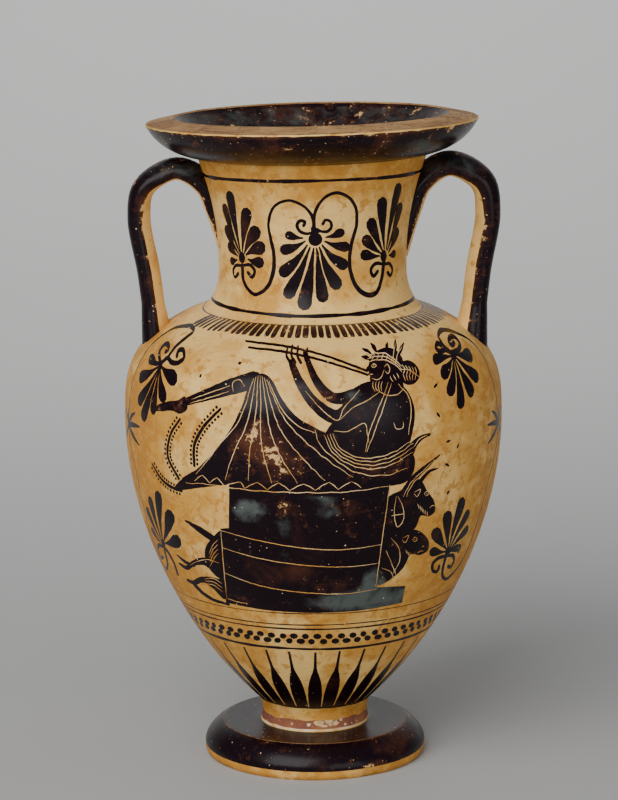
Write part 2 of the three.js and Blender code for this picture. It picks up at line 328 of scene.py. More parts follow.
lower_scrolls = {
    RIGHT: [[(67.4, 104.8), (62.3, 104.7), (58.9, 102.4), (59.6, 98.6), (62.8, 97.8),
             (63.6, 100.2)],
            [(69.2, 104.6), (73.6, 103.6), (75.4, 100.6), (73.4, 97.4), (70.9, 98.6)],
            [(70.6, 106.6), (76.0, 108.0), (79.4, 107.0), (78.2, 104.8)]],
    LEFT: [[(-84.6, 106.4), (-89.6, 106.0), (-93.4, 102.4), (-91.4, 98.6), (-87.6, 100.2)],
           [(-83.4, 106.6), (-79.0, 103.6), (-76.0, 99.4), (-74.6, 94.0)]]}
upper_tendril = {
    RIGHT: [(71.0, 197.6), (69.0, 199.0), (66.9, 201.4), (66.3, 203.2), (69.0, 204.5),
            (75.1, 204.4), (83.3, 202.6), (94.8, 198.6), (101.4, 193.0), (105.2, 185.6),
            (109.2, 176.0), (113.6, 165.6), (114.6, 161.0)],
    LEFT: [(-77.2, 195.2), (-73.6, 199.4), (-68.1, 203.0), (-63.9, 205.6), (-67.0, 206.6),
           (-75.2, 206.0), (-87.9, 203.2), (-100.1, 196.4), (-106.5, 187.0), (-111.2, 176.0),
           (-114.8, 161.0)]}
lower_tendril = {
    RIGHT: [(114.5, 158.0), (110.5, 147.0), (103.4, 137.0), (98.6, 124.0), (92.7, 110.0),
            (85.4, 98.6), (76.9, 93.2), (70.7, 91.6), (67.3, 94.3), (66.8, 99.1), (68.0, 104.4)],
    LEFT: [(-114.6, 158.0), (-109.8, 148.0), (-105.0, 137.0), (-102.0, 122.0), (-99.0, 108.0),
           (-94.0, 97.0), (-88.0, 93.4), (-84.2, 96.6), (-83.6, 106.0)]}

for turn in (FRONT, BACK):
    for side in (LEFT, RIGHT):
        petals(BLACK, upper_petals[side], turn)
        petals(BLACK, lower_petals[side], turn)
        dab(BLACK, upper_heart[side], 4.6, 4.2, turn)
        dab(BLACK, lower_heart[side], 4.4, 4.8, turn)
        for scroll in upper_scrolls[side] + lower_scrolls[side]:
            brush(BLACK, scroll, [1.9, 2.1, 1.8, 2.0], turn)
        brush(BLACK, upper_tendril[side], [1.7, 1.5, 1.1, 0.85, 0.8, 0.9], turn)
        brush(BLACK, lower_tendril[side], [0.9, 0.8, 0.85, 1.1, 1.7, 2.2], turn)
        brush(BLACK, [(114.4 * side, 168.0), (115.4 * side, 163.5), (114.4 * side, 159.0)],
              [0.8, 2.6, 0.8], turn)
        for u, z in ((103.4, 168.0), (97.6, 162.6), (98.6, 153.8), (124.0, 167.5), (124.5, 152.0)):
            brush(BLACK, [(114.6 * side, 160.4), ((u + 114.6) / 2 * side, z * 0.6 + 64.4),
                          (u * side, z)], [2.4, 2.6, 0.8], turn)


# The picture on the front: a reclining player of the pipes, wrapped in a long cloth, on a
# block-like couch, with goats behind it and twigs before it. Folds and limbs are incised.

# The stretched leg, and its bare foot.
brush(BLACK, [(-26.0, 191.5), (-37.5, 188.0), (-50.0, 183.6), (-61.0, 179.6)],
      [7.0, 6.6, 5.0, 3.4])
area(BLACK, [(-62.0, 181.8), (-66.5, 179.6), (-73.0, 178.2), (-81.5, 175.0), (-83.5, 172.8),
             (-78.0, 173.0), (-70.0, 174.4), (-65.0, 173.8), (-60.5, 176.6)])

# The cloth from the knee to the feet, and the torso.
area(BLACK, [(-27.5, 192.0), (-23.0, 194.2), (-19.0, 192.6), (-13.5, 184.0), (-7.0, 176.6),
             (0.0, 172.6), (9.0, 168.0), (26.0, 161.5), (39.0, 163.0), (45.6, 158.0),
             (46.6, 151.5), (43.0, 145.8), (34.0, 144.2), (10.0, 144.8), (-14.0, 144.6),
             (-38.0, 144.8), (-52.0, 142.0), (-70.0, 138.4), (-64.0, 144.8), (-55.0, 150.5),
             (-45.0, 160.5), (-37.0, 171.0), (-31.5, 182.0)])
area(BLACK, [(11.0, 177.0), (14.0, 185.2), (20.0, 189.6), (28.0, 191.0), (37.0, 190.2),
             (43.5, 185.0), (46.6, 177.0), (45.4, 167.5), (42.0, 159.0), (30.0, 156.0),
             (14.0, 160.0), (4.5, 167.2), (6.5, 172.4)])

# Two arms, two pipes, and the fingers on them.
brush(BLACK, [(20.0, 184.0), (10.5, 176.6), (1.0, 182.0), (-6.5, 192.0), (-9.5, 198.5)],
      [7.0, 6.6, 5.4, 4.2, 2.8])
brush(BLACK, [(18.0, 185.5), (9.0, 184.6), (2.5, 190.0), (-2.0, 198.0), (-3.5, 202.0)],
      [5.6, 4.8, 4.0, 3.0, 2.2])
brush(BLACK, [(-31.0, 205.2), (-12.0, 204.2), (6.0, 200.8), (24.0, 194.8)], [0.8, 1.0, 0.9, 1.0])
brush(BLACK, [(-29.5, 203.2), (-12.0, 202.2), (6.0, 198.8), (24.0, 193.4)], [0.8, 1.0, 0.9, 1.0])
for finger in ((-11.4, 203.6), (-9.2, 204.6), (-6.6, 204.4), (-2.6, 203.8)):
    brush(BLACK, [(finger[0] + 1.2, 198.6), (finger[0] - 0.4, 201.0), finger], [1.3, 1.1, 0.8])

# The head, the knot of hair, the neck, and the leaves of a wreath.
area(BLACK, [(25.0, 198.4), (27.6, 201.2), (32.4, 202.6), (37.4, 201.8), (41.2, 198.6),
             (42.0, 194.0), (39.2, 189.8), (35.2, 187.6), (31.6, 187.2), (29.2, 185.2),
             (27.0, 186.4), (26.0, 189.0), (25.0, 191.6), (25.2, 192.8), (24.1, 193.5),
             (24.7, 194.4), (23.3, 195.6), (24.7, 197.0)])
area(BLACK, [(39.6, 196.2), (44.0, 197.4), (48.4, 195.2), (50.0, 191.6), (47.8, 188.6),
             (43.0, 188.0), (39.8, 190.6)])
area(BLACK, [(31.0, 191.0), (39.6, 192.0), (41.0, 186.4), (32.0, 184.8)])
for root, tip in (((25.6, 198.8), (21.4, 200.2)), ((26.4, 200.2), (22.0, 203.0)),
                  ((28.6, 201.4), (26.0, 204.6)), ((38.0, 200.8), (38.6, 205.2)),
                  ((39.6, 199.6), (43.0, 203.4)), ((33.6, 202.0), (34.4, 204.2))):
    brush(BLACK, [root, ((root[0] + tip[0]) / 2, (root[1] + tip[1]) / 2 + 0.3), tip],
          [1.0, 1.9, 0.5])

# The loose end of the cloth behind the back, and the couch with its step at the lower right.
brush(BLACK, [(44.0, 159.0), (47.6, 163.2), (51.0, 164.8), (54.6, 165.4)], [5.0, 3.6, 2.2, 1.4])
area(BLACK, [(-38.6, 146.0), (-12.0, 145.6), (12.0, 145.6), (34.6, 146.0), (31.4, 121.5),
             (28.6, 95.4), (43.2, 94.0), (42.0, 85.2), (20.0, 83.9), (0.0, 83.7), (-20.0, 84.2),
             (-42.4, 85.6), (-43.0, 104.0), (-43.6, 123.4), (-39.2, 124.2)], smooth=False)

# The goats: two heads and two horns on the right, and the hind legs and tails on the left.
area(BLACK, [(33.4, 139.0), (39.6, 141.8), (44.6, 146.0), (49.6, 145.4), (53.4, 140.0),
             (58.0, 133.4), (58.2, 128.8), (54.6, 127.2), (50.4, 128.2), (47.4, 122.6),
             (40.0, 120.0), (31.6, 121.8)])
brush(BLACK, [(41.0, 140.0), (46.0, 146.4), (53.4, 151.4), (60.5, 155.4)], [4.0, 3.4, 2.2, 0.6])
brush(BLACK, [(49.0, 144.0), (54.0, 148.4), (59.5, 149.4)], [2.4, 1.8, 0.6])
area(BLACK, [(31.0, 121.8), (40.0, 122.6), (48.6, 121.4), (55.0, 115.6), (55.4, 110.6),
             (50.6, 108.6), (45.4, 109.8), (42.0, 104.0), (35.6, 98.8), (29.0, 96.4)])
area(BLACK, [(-43.2, 122.4), (-47.6, 118.8), (-52.6, 111.6), (-51.8, 104.0), (-47.6, 99.2),
             (-42.6, 97.6)])
brush(BLACK, [(-63.6, 124.4), (-55.0, 121.2), (-46.0, 117.0)], [1.0, 3.4, 3.6])
brush(BLACK, [(-71.0, 100.6), (-66.0, 99.6), (-60.0, 103.4), (-54.0, 105.4), (-46.0, 103.6)],
      [1.6, 2.6, 3.0, 4.4, 6.6])
brush(BLACK, [(-66.5, 92.8), (-62.0, 92.4), (-56.0, 95.4), (-50.0, 95.2), (-42.0, 92.4)],
      [1.6, 2.8, 3.4, 6.6, 11.0])
brush(BLACK, [(-62.0, 92.0), (-57.0, 88.4), (-50.0, 85.8), (-41.0, 84.8)], [2.6, 2.2, 1.8, 1.4])
brush(BLACK, [(-72.0, 105.0), (-66.0, 102.6), (-60.0, 102.0)], [1.0, 2.0, 1.6])

# Twigs with small leaves, and dabs of the brush in the field.
for twig in ([(-65.0, 171.5), (-71.6, 163.0), (-73.4, 153.5), (-66.5, 144.0)],
             [(-42.5, 178.5), (-51.5, 169.5), (-56.5, 161.0), (-56.8, 151.5)],
             [(-86.0, 147.5), (-79.5, 142.0), (-73.0, 139.4), (-65.0, 138.4)]):
    brush(BLACK, twig, [1.1, 1.5, 1.7, 1.6])
    branch = flow(twig, 2.2)
    for near, far in zip(branch, branch[1:]):
        way = (far - near) / math.hypot(*(far - near))
        for side in (-1, 1):
            leaf = (near + far) / 2 + side * 1.75 * np.array((-way[1], way[0]))
            dab(BLACK, leaf, 1.45)
for u, z, long, tilt in ((57.6, 185.5, 2.2, 0.5), (60.4, 172.5, 2.6, 2.2), (64.6, 160.6, 2.4, 0.2),
                         (71.6, 156.8, 1.8, 1.1), (66.2, 149.4, 2.6, 2.6), (65.6, 136.2, 1.8, 0.8),
                         (-34.0, 197.2, 1.2, 0.3), (-54.0, 190.6, 1.2, 0.9)):
    brush(BLACK, [(u, z), (u + long / 2 * math.cos(tilt), z + long / 2 * math.sin(tilt)),
                  (u + long * math.cos(tilt), z + long * math.sin(tilt))], [0.8, 1.3, 0.7])


def wavering(path, size=0.28):
    """The same path, cut with a hand that trembles a little."""
    return [(u + size * math.sin(k * 1.9 + z), z + size * math.sin(k * 2.3 + u))
            for k, (u, z) in enumerate(flow(path, 2.6))]


# Folds that fan out from the knee.
for knee, middle, low in (((-26.4, 192.2), (-34.6, 173.0), (-56.0, 147.6)),
                          ((-25.4, 192.7), (-30.4, 172.0), (-40.5, 147.2)),
                          ((-24.4, 193.0), (-26.6, 171.0), (-29.6, 147.2)),
                          ((-23.4, 193.1), (-23.4, 171.0), (-19.0, 147.2)),
                          ((-22.5, 193.0), (-19.4, 171.6), (-7.0, 147.4)),
                          ((-21.6, 192.6), (-15.6, 172.6), (5.0, 148.2)),
                          ((-20.6, 192.0), (-12.6, 175.4), (17.0, 149.6))):
    scratch(wavering([knee, middle, ((middle[0] + low[0]) / 2 - 0.8,
                                     (middle[1] + low[1]) / 2 - 0.8), low]))

# Folds along the lap, and the cloth wound round the hips, with its loose end.
scratch([(-19.6, 191.2), (-13.6, 179.6), (-6.6, 172.8), (0.6, 170.0)])
scratch(wavering([(0.4, 171.0), (2.0, 165.4), (9.0, 158.0), (19.0, 151.6), (31.0, 149.4),
                  (43.0, 151.6)]))
for lift in (0.0, 1.7, 3.4, 5.0):
    scratch(wavering([(4.4 + lift * 0.8, 169.2), (8.0 + lift * 0.6, 161.6 + lift * 0.4),
                      (15.0 + lift * 0.4, 155.8 + lift * 0.7), (25.0, 152.8 + lift),
                      (35.6, 154.2 + lift * 1.05), (45.6, 158.8 + lift * 1.1)], 0.18))
scratch([(46.0, 160.8), (49.4, 164.2), (53.4, 165.4)])
scratch([(46.6, 159.4), (49.8, 162.8), (53.6, 164.6)])

# The hem.
hem = [(-57.0, 144.4), (-52.4, 147.6), (-48.6, 144.6), (-44.6, 147.4), (-41.0, 144.0),
       (-33.0, 146.6), (-31.0, 143.8), (-25.2, 147.0), (-20.8, 143.8), (-15.6, 147.2),
       (-10.8, 143.8), (-4.4, 147.0), (0.4, 144.0), (6.6, 147.6), (10.6, 144.2), (16.4, 147.6),
       (21.0, 144.6)]
for near, far in zip(hem, hem[1:]):
    scratch([near, ((near[0] + far[0]) / 2, (near[1] + far[1]) / 2 + 0.3), far], 0.34)
scratch(wavering([(-62.0, 142.8), (-50.0, 143.8), (-30.0, 143.2), (-8.0, 143.0), (14.0, 143.0),
                  (34.0, 144.4)], 0.15))

# The couch's boards and corners.
scratch([(-39.6, 144.0), (-39.4, 124.0)])
scratch([(-43.4, 122.6), (-24.0, 119.4), (-2.0, 116.4), (14.0, 115.6), (30.4, 116.8)])
scratch([(-43.2, 114.2), (-24.0, 110.6), (-2.0, 108.0), (14.0, 107.0), (29.6, 107.6)])
scratch([(-42.6, 101.4), (-24.0, 96.8), (-2.0, 94.2), (14.0, 93.4), (28.4, 94.4)])
scratch([(-43.3, 122.8), (-42.6, 105.0), (-41.8, 87.6)])
scratch([(34.2, 144.8), (31.0, 121.5), (28.0, 95.6)])
scratch([(-41.6, 88.0), (-36.0, 87.0), (-31.0, 86.9)], 0.32)

# The strap across the torso, the back, the collar, the arms and the ribs.
scratch(wavering([(33.4, 189.6), (29.4, 180.4), (25.0, 170.0), (22.8, 160.6)], 0.2))
scratch(wavering([(35.0, 189.4), (31.4, 180.0), (27.2, 169.6), (23.4, 160.6)], 0.2))
scratch(wavering([(38.6, 188.6), (43.2, 183.6), (44.8, 176.4), (43.4, 166.8)], 0.22))
scratch([(27.6, 187.6), (32.6, 184.8), (38.0, 184.6), (41.4, 186.8)], 0.34)
scratch([(20.4, 187.6), (13.0, 180.0), (10.6, 175.2), (4.4, 179.2), (-3.6, 187.6)], 0.32)
scratch([(11.4, 175.4), (17.0, 180.2), (24.0, 183.2), (29.6, 186.4)], 0.32)
scratch([(8.8, 170.6), (14.6, 170.2), (22.4, 173.4), (23.6, 169.0), (24.4, 164.6)], 0.32)
scratch([(36.0, 172.6), (37.4, 169.8), (40.4, 170.0), (40.8, 172.8)], 0.32)

# The wreath's band and leaves, then the eye, ear, mouth, beard and hair.
for lift in (0.0, 1.3, 2.5):
    scratch(wavering([(24.4, 198.0 + lift), (29.6, 198.6 + lift), (35.0, 197.4 + lift * 0.9),
                      (40.6, 193.6 + lift * 0.8)], 0.2), 0.34)
for k in range(6):
    scratch([(26.0 + k * 2.3, 198.4 - max(0, k - 2) * 0.7),
             (27.6 + k * 2.2, 200.9 - max(0, k - 2) * 0.7)], 0.3)
for root, tip in (((36.4, 196.6), (38.4, 203.6)), ((37.4, 197.0), (41.8, 202.4)),
                  ((26.8, 199.8), (22.8, 201.8)), ((27.6, 200.6), (25.4, 203.4))):
    scratch([root, ((root[0] + tip[0]) / 2 - 0.4, (root[1] + tip[1]) / 2 + 0.4), tip], 0.3)
scratch([(25.9, 196.6), (27.1, 197.3), (28.3, 196.6), (27.0, 195.9), (25.9, 196.5)], 0.3)
dab(SCRATCHED, (27.1, 196.6), 0.45)
scratch([(32.0, 195.8), (33.4, 196.8), (34.6, 195.2), (33.6, 193.2), (32.4, 194.2)], 0.34)
scratch([(24.9, 193.5), (26.6, 193.3)], 0.3)
scratch([(26.0, 191.8), (28.8, 191.2), (30.6, 192.4), (31.8, 194.8)], 0.34)
for k in range(4):
    scratch([(26.6 + k * 1.4, 190.6 - k * 0.1), (26.2 + k * 1.3, 188.6), (27.4 + k, 186.6)], 0.28)
for k in range(5):
    scratch([(40.8 + k * 1.7, 196.0 - k * 0.4), (42.2 + k * 1.5, 194.2 - k * 0.4),
             (41.2 + k * 1.6, 192.2 - k * 0.3), (42.4 + k * 1.2, 189.6)], 0.32)
scratch([(39.4, 194.4), (44.6, 193.6), (49.4, 190.6)], 0.3)
for k in range(3):
    scratch([(34.6 + k * 1.7, 192.0 + k * 0.5), (36.0 + k * 1.5, 189.8 + k * 0.6)], 0.3)

# The knee and the shin.
scratch([(-30.6, 188.6), (-33.4, 191.2), (-36.6, 189.6), (-36.2, 186.2)], 0.32)
scratch([(-38.0, 188.4), (-47.0, 185.2), (-58.0, 181.0)], 0.32)
scratch([(-38.6, 186.0), (-48.0, 182.8), (-59.0, 179.2)], 0.32)

# The goats' eyes, muzzles, ears and beards, then the horns, necks, manes and legs.
for eye in ((53.2, 138.4), (47.4, 117.0)):
    scratch([(eye[0] - 1.3, eye[1]), (eye[0], eye[1] + 1.2), (eye[0] + 1.3, eye[1]),
             (eye[0], eye[1] - 1.0), (eye[0] - 1.2, eye[1] - 0.1)], 0.32)
    dab(SCRATCHED, eye, 0.45)
    scratch([(eye[0] + 1.8, eye[1] - 7.2), (eye[0] + 3.4, eye[1] - 6.2),
             (eye[0] + 5.2, eye[1] - 6.8)], 0.32)
    scratch([(eye[0] + 4.2, eye[1] - 4.4), (eye[0] + 5.4, eye[1] - 4.0)], 0.32)
    scratch([(eye[0] - 6.4, eye[1] + 1.6), (eye[0] - 3.4, eye[1] + 2.6),
             (eye[0] - 5.2, eye[1] - 0.8), (eye[0] - 6.8, eye[1] + 1.0)], 0.32)
    for k in range(6):
        scratch([(eye[0] - 4.8 + k * 1.1, eye[1] - 4.2 - k * 0.9),
                 (eye[0] - 4.0 + k * 1.0, eye[1] - 6.6 - k * 1.0)], 0.3)
for shift in (0.0, 1.5):
    scratch(wavering([(40.8 + shift, 138.4), (44.6 + shift, 144.6),
                      (51.4 + shift, 149.6 - shift * 0.6), (57.6, 153.8 - shift * 0.3)],
                     0.15), 0.34)
scratch([(37.4, 139.2), (36.4, 131.4), (38.2, 124.4), (41.0, 127.2), (40.6, 134.0),
         (38.2, 139.0)], 0.34)
scratch([(35.0, 130.2), (41.2, 130.4)], 0.34)
scratch([(35.0, 119.4), (39.0, 114.0), (39.6, 107.6), (36.4, 101.6)], 0.34)
scratch([(30.6, 105.0), (35.2, 102.4), (36.8, 98.8)], 0.34)
for k in range(7):
    scratch([(32.6 + k * 0.7, 113.6 - k * 1.6), (34.2 + k * 0.6, 109.8 - k * 1.5)], 0.3)
for k in range(4):
    scratch([(-45.2, 117.6 - k * 2.2), (-48.0, 114.6 - k * 2.4), (-50.2, 110.0 - k * 2.2)], 0.32)
for k in range(3):
    scratch([(-44.0, 95.6 - k * 2.2), (-49.0, 97.4 - k * 1.8), (-54.0, 96.2 - k * 1.2)], 0.3)
scratch([(-45.0, 106.0), (-51.0, 106.8), (-58.0, 104.6), (-63.0, 101.6)], 0.3)


# The picture on the back: two standing figures, each wrapped in a cloak, face each other.
# This side is kept plainer, as painters did, with few incised folds.

for mirror in (-1, 1):
    def mirrored(points):
        return [(u * mirror, z) for u, z in points]

    cloak = [(12.0, 180.0), (19.0, 184.4), (28.0, 183.0), (34.0, 172.0), (36.6, 150.0),
             (38.0, 120.0), (36.6, 97.0), (24.0, 95.0), (12.6, 96.4), (11.0, 120.0), (9.0, 150.0),
             (8.4, 168.0)]
    head = [(15.6, 187.0), (14.2, 190.4), (15.2, 196.6), (20.0, 199.8), (25.4, 197.6),
            (27.2, 192.0), (25.6, 186.6), (22.6, 181.6), (18.4, 182.0), (17.6, 185.4)]
    area(BLACK, mirrored(cloak), BACK)
    area(BLACK, mirrored(head), BACK)
    for heel in (14.0, 25.0):
        brush(BLACK, mirrored([(heel + 6.0, 96.0), (heel + 5.0, 88.6), (heel - 4.0, 86.0)]),
              [4.6, 4.0, 1.8], BACK)
    brush(BLACK, mirrored([(4.2, 180.0), (3.6, 130.0), (4.4, 87.0)]), [0.9, 1.1, 0.9], BACK)
    for k in range(5):
        fold = [(13.0 + k * 4.6, 176.0 - k * 0.8), (11.6 + k * 4.8, 146.0 - k * 2.0),
                (14.0 + k * 4.8, 100.0)]
        scratch(mirrored(fold), 0.5, BACK)
    scratch(mirrored([(11.0, 172.0), (20.0, 160.0), (34.0, 154.0)]), 0.5, BACK)
    scratch(mirrored([(16.4, 194.4), (21.0, 194.6), (26.0, 190.8)]), 0.45, BACK)
    scratch(mirrored([(22.0, 191.4), (23.2, 190.2), (22.2, 189.0)]), 0.4, BACK)


# The bands below the picture and the rays that rise from the stem: lines drawn on the wheel,
# two rows of dots between them, and a ring of pointed leaves, each in two strokes.

all_round(THINNED, 83.2, 0.55)
all_round(THINNED, 77.2, 0.7)
all_round(THINNED, 74.9, 1.0)
all_round(BLACK, 63.9, 1.7, uneven=0.3)

dot_count, dot_rows = 72, (70.9, 68.2)
for row, height in enumerate(dot_rows):
    for k in range(dot_count):
        chance = noise.noise_vector(Vector((k * 2.3, row * 7.7, 1.9)))
        share = min(max(k + 0.5 * row + 0.25, 0.5), dot_count - 0.5) / dot_count
        u = (share * 2 - 0.5) * math.pi * radius_at(height)
        dab(BLACK, (u + 0.5 * chance.x, height + 0.4 * chance.y), 3.6 + 0.9 * chance.z, 3.2)

ray_count, ray_base = 30, 27.2
# A ray's outline, as heights and the share of its full width there.
ray_shape = [(ray_base, 1.0), (31.0, 0.98), (36.0, 0.93), (41.0, 0.8), (45.0, 0.62), (48.0, 0.42),
             (50.5, 0.24), (53.0, 0.15), (57.5, 0.12), (62.0, 0.1)]


def ray_side(sense, angle, half, tip, bend):
    """One side of a ray, from its base to its tip."""
    side = []
    for height, share in ray_shape:
        bent = angle + 0.02 * bend * (height - 27) / 35
        side.append(((bent + sense * half * share) * SPREAD,
                     run_at(ray_base + (height - ray_base) * tip)))
    return side


for k in range(ray_count):
    angle = ((k + 0.5) / ray_count * 2 - 0.5) * math.pi
    chance = noise.noise_vector(Vector((k * 3.1, 5.5, 0.7)))
    tip = 1 + 0.05 * chance.x
    half = math.pi / ray_count * 0.94
    left, right = (ray_side(sense, angle, half, tip, chance.y) for sense in (-1, 1))
    strokes.append((BLACK, left + right[::-1], None))
all_round(BLACK, 27.4, 2.0)


# The stem is left in bare clay above, with a band of purple slip below it and a thin line of
# cream slip where it meets the foot. The cream has flaked over the purple at the front.

all_round(PURPLE, 18.2, 4.2)
all_round(CREAM, 15.95, 0.9, uneven=0.1)


def flake(coat, centre, wide, high):
    """A ragged patch."""
    ring, corners = [], 11
    for k in range(corners):
        a = k * 2 * math.pi / corners
        size = 0.5 + 0.42 * noise.noise(Vector((centre[0] + math.cos(a) * 1.4,
                                                centre[1] + math.sin(a) * 1.4, 2.2)))
        ring.append((centre[0] + wide * size * math.cos(a), centre[1] + high * size * math.sin(a)))
    area(coat, ring, smooth=False)


# Cream over the purple, and slip gone from the lines of the body above.
for u, z, wide, high in ((2.0, 19.2, 3.4, 2.0), (6.4, 19.8, 3.0, 1.6), (9.8, 18.8, 2.6, 1.6),
                         (4.4, 18.0, 1.8, 1.0), (-3.0, 18.6, 1.4, 1.0), (12.6, 20.2, 1.6, 1.4),
                         (7.4, 18.2, 1.6, 0.9), (-11.0, 18.4, 1.0, 0.8), (14.8, 17.6, 1.2, 0.8)):
    flake(CREAM, (u, z), wide * 1.3, high * 1.3)
for u, z, wide, high in ((1.0, 84.0, 5.0, 2.2), (5.0, 83.2, 4.2, 1.6), (-2.6, 83.0, 2.6, 1.4),
                         (-50.6, 80.6, 3.2, 1.6), (-46.0, 78.6, 2.2, 2.4), (-31.0, 71.0, 2.4, 1.8),
                         (9.0, 84.2, 2.0, 1.2), (-38.0, 76.4, 1.6, 1.0)):
    flake(BARE, (u, z), wide * 1.25, high * 1.25)


# The wall's skin. The unrolled sheet is cut along every painted outline, so each coat of
# slip has faces of its own and a scratched line is a real groove, and then it is rolled
# back round the turning axis. Foot, mouth, inside and handles join the same skin later.

MM = 0.001
COLUMNS = 180  # points in every ring round the axis
groove_depth, row_height = 0.13, 4.0
clear = 1.7  # plain points keep about this far from the painted outlines
places, faces, finishes, corner_normals = [], [], [], []
BARE_CLAY, THIN_SLIP, BLACK_SLIP, SCRATCHED_CLAY, PURPLE_SLIP, CREAM_SLIP, WORN_CLAY, \
    INSIDE_CLAY = range(8)


def leaning(x, y, z):
    """The mouth came out of the joining a little askew, more so the higher up the neck."""
    share = min(max((z - neck_base) / (lip_edge - neck_base), 0.0), 1.0)
    return z + (math.tan(math.radians(1.1)) * x - math.tan(math.radians(1.45)) * y) * share


def put(radius, height, angle):
    """Adds a point at a radius, height and angle, and gives its number."""
    x, y = radius * math.sin(angle), -radius * math.cos(angle)
    places.append((x * MM, y * MM, leaning(x, y, height) * MM))
    return len(places) - 1


def facing(slope, angle):
    """The way the surface faces, from the profile's slope (radius, height) at that place."""
    long = math.hypot(*slope)
    out, up = slope[1] / long, -slope[0] / long
    return (out * math.sin(angle), -out * math.cos(angle), up)


def cut_sheet():
    """Cuts the sheet and rolls it up. Gives the rings of points at its lower and upper edge."""
    # The sheet's outline, with its two upright edges where the seam will be.
    left, right, top = -0.5 * math.pi * SPREAD, 1.5 * math.pi * SPREAD, float(wall_run[-1])
    rows = math.ceil(top / row_height)
    across = [left + (right - left) * k / COLUMNS for k in range(COLUMNS + 1)]
    points = [(x, 0.0) for x in across]
    points += [(right, top * k / rows) for k in range(1, rows)]
    points += [(x, top) for x in reversed(across)]
    points += [(left, top * k / rows) for k in range(rows - 1, 0, -1)]
    edges = [(k, (k + 1) % len(points)) for k in range(len(points))]

    # The crease between stem and body.
    crease, first = run_at(body_base), len(points)
    points += [(x, crease) for x in across]
    edges += [(k, k + 1) for k in range(first, first + COLUMNS)]
    plain_edges = len(edges)

    # Every stroke is a shape to cut round, and the middle of a scratch is an edge of its own.
    shapes = []
    for coat, outline, middle in strokes:
        turning = sum(a[0] * b[1] - b[0] * a[1] for a, b in zip(outline, outline[1:] + outline[:1]))
        if turning < 0:
            outline = outline[::-1]
        shapes.append(tuple(range(len(points), len(points) + len(outline))))
        points += outline
        if middle:
            edges += [(k, k + 1) for k in range(len(points), len(points) + len(middle) - 1)]
            points += middle

    # Plain points between the strokes, in rows.
    taken = {(round(x / clear), round(y / clear)) for x, y in points}
    for row in range(1, rows):
        y = top * row / rows
        for x in across[1:-1]:
            if (round(x / clear), round(y / clear)) not in taken:
                points.append((x, y))

    # Cut along every edge, keeping note of the strokes that each piece lies in.
    cut = delaunay_2d_cdt([Vector(p) for p in points], edges, shapes, 0, 1e-5, True)
    spots, cut_edges, pieces, _, edge_sources, piece_sources = cut

    # Points on the middle of a scratch are pressed into the clay.
    pressed = set()
    for (a, b), sources in zip(cut_edges, edge_sources):
        if any(plain_edges <= s < len(edges) for s in sources):
            pressed.update((a, b))

    # A point on the right edge is the point on the left edge at the same run.
    seam = {}
    lefts = sorted((p.y, k) for k, p in enumerate(spots) if p.x < left + 1e-3)
    left_runs = np.array([y for y, _ in lefts])
    for k, p in enumerate(spots):
        if p.x > right - 1e-3:
            seam[k] = lefts[int(np.argmin(abs(left_runs - p.y)))][1]

    # The sheet rolled up.
    index, ways = {}, {}
    for k, p in enumerate(spots):
        if k in seam:
            continue
        angle = p.x / SPREAD
        r, z = (float(np.interp(p.y, wall_run, wall_line[:, c])) for c in (0, 1))
        slope = [float(np.interp(p.y, wall_run, wall_slope[:, c])) for c in (0, 1)]
        way = facing(slope, angle)
        if k in pressed:
            r -= groove_depth * slope[1] / math.hypot(*slope)
            z += groove_depth * slope[0] / math.hypot(*slope)
        index[k] = put(r, z, angle)
        ways[k] = way
    for a, b in seam.items():
        index[a], ways[a] = index[b], ways[b]

    # Each face takes the finish of its topmost coat. A scratch bares clay only where it cuts slip.
    for corners, sources in zip(pieces, piece_sources):
        coats = [strokes[s][0] for s in sources]
        scratched = SCRATCHED in coats
        under = max([c for c in coats if c != SCRATCHED], default=BARE)
        if scratched and under:
            finish = SCRATCHED_CLAY
        else:
            finish = (BARE_CLAY, THIN_SLIP, PURPLE_SLIP, BLACK_SLIP, CREAM_SLIP)[under]
        made = tuple(index[c] for c in corners)
        xs = [spots[c].x for c in corners]
        if len(set(made)) < 3 or max(xs) < left + 1e-3 or min(xs) > right - 1e-3:
            continue
        faces.append(made)
        finishes.append(finish)
        if scratched:
            a, b, c = (Vector(places[m]) for m in made[:3])
            flat = (b - a).cross(c - a)
            corner_normals.extend([tuple(flat.normalized())] * len(made)
                                  if flat.length > 1e-12 else [ways[c] for c in corners])
        else:
            corner_normals.extend(ways[c] for c in corners)

    def ring_at(run):
        found = sorted((p.x, index[k]) for k, p in enumerate(spots)
                       if abs(p.y - run) < 1e-3 and k not in seam)
        return [i for _, i in found]

    return ring_at(0.0), ring_at(top)


stem_ring, neck_ring = cut_sheet()


# What the sheet leaves out: the foot, the mouth, and the inside, all turned on the wheel.
# Each stretch is a line of (radius, height) and the finish of the band that ends there.

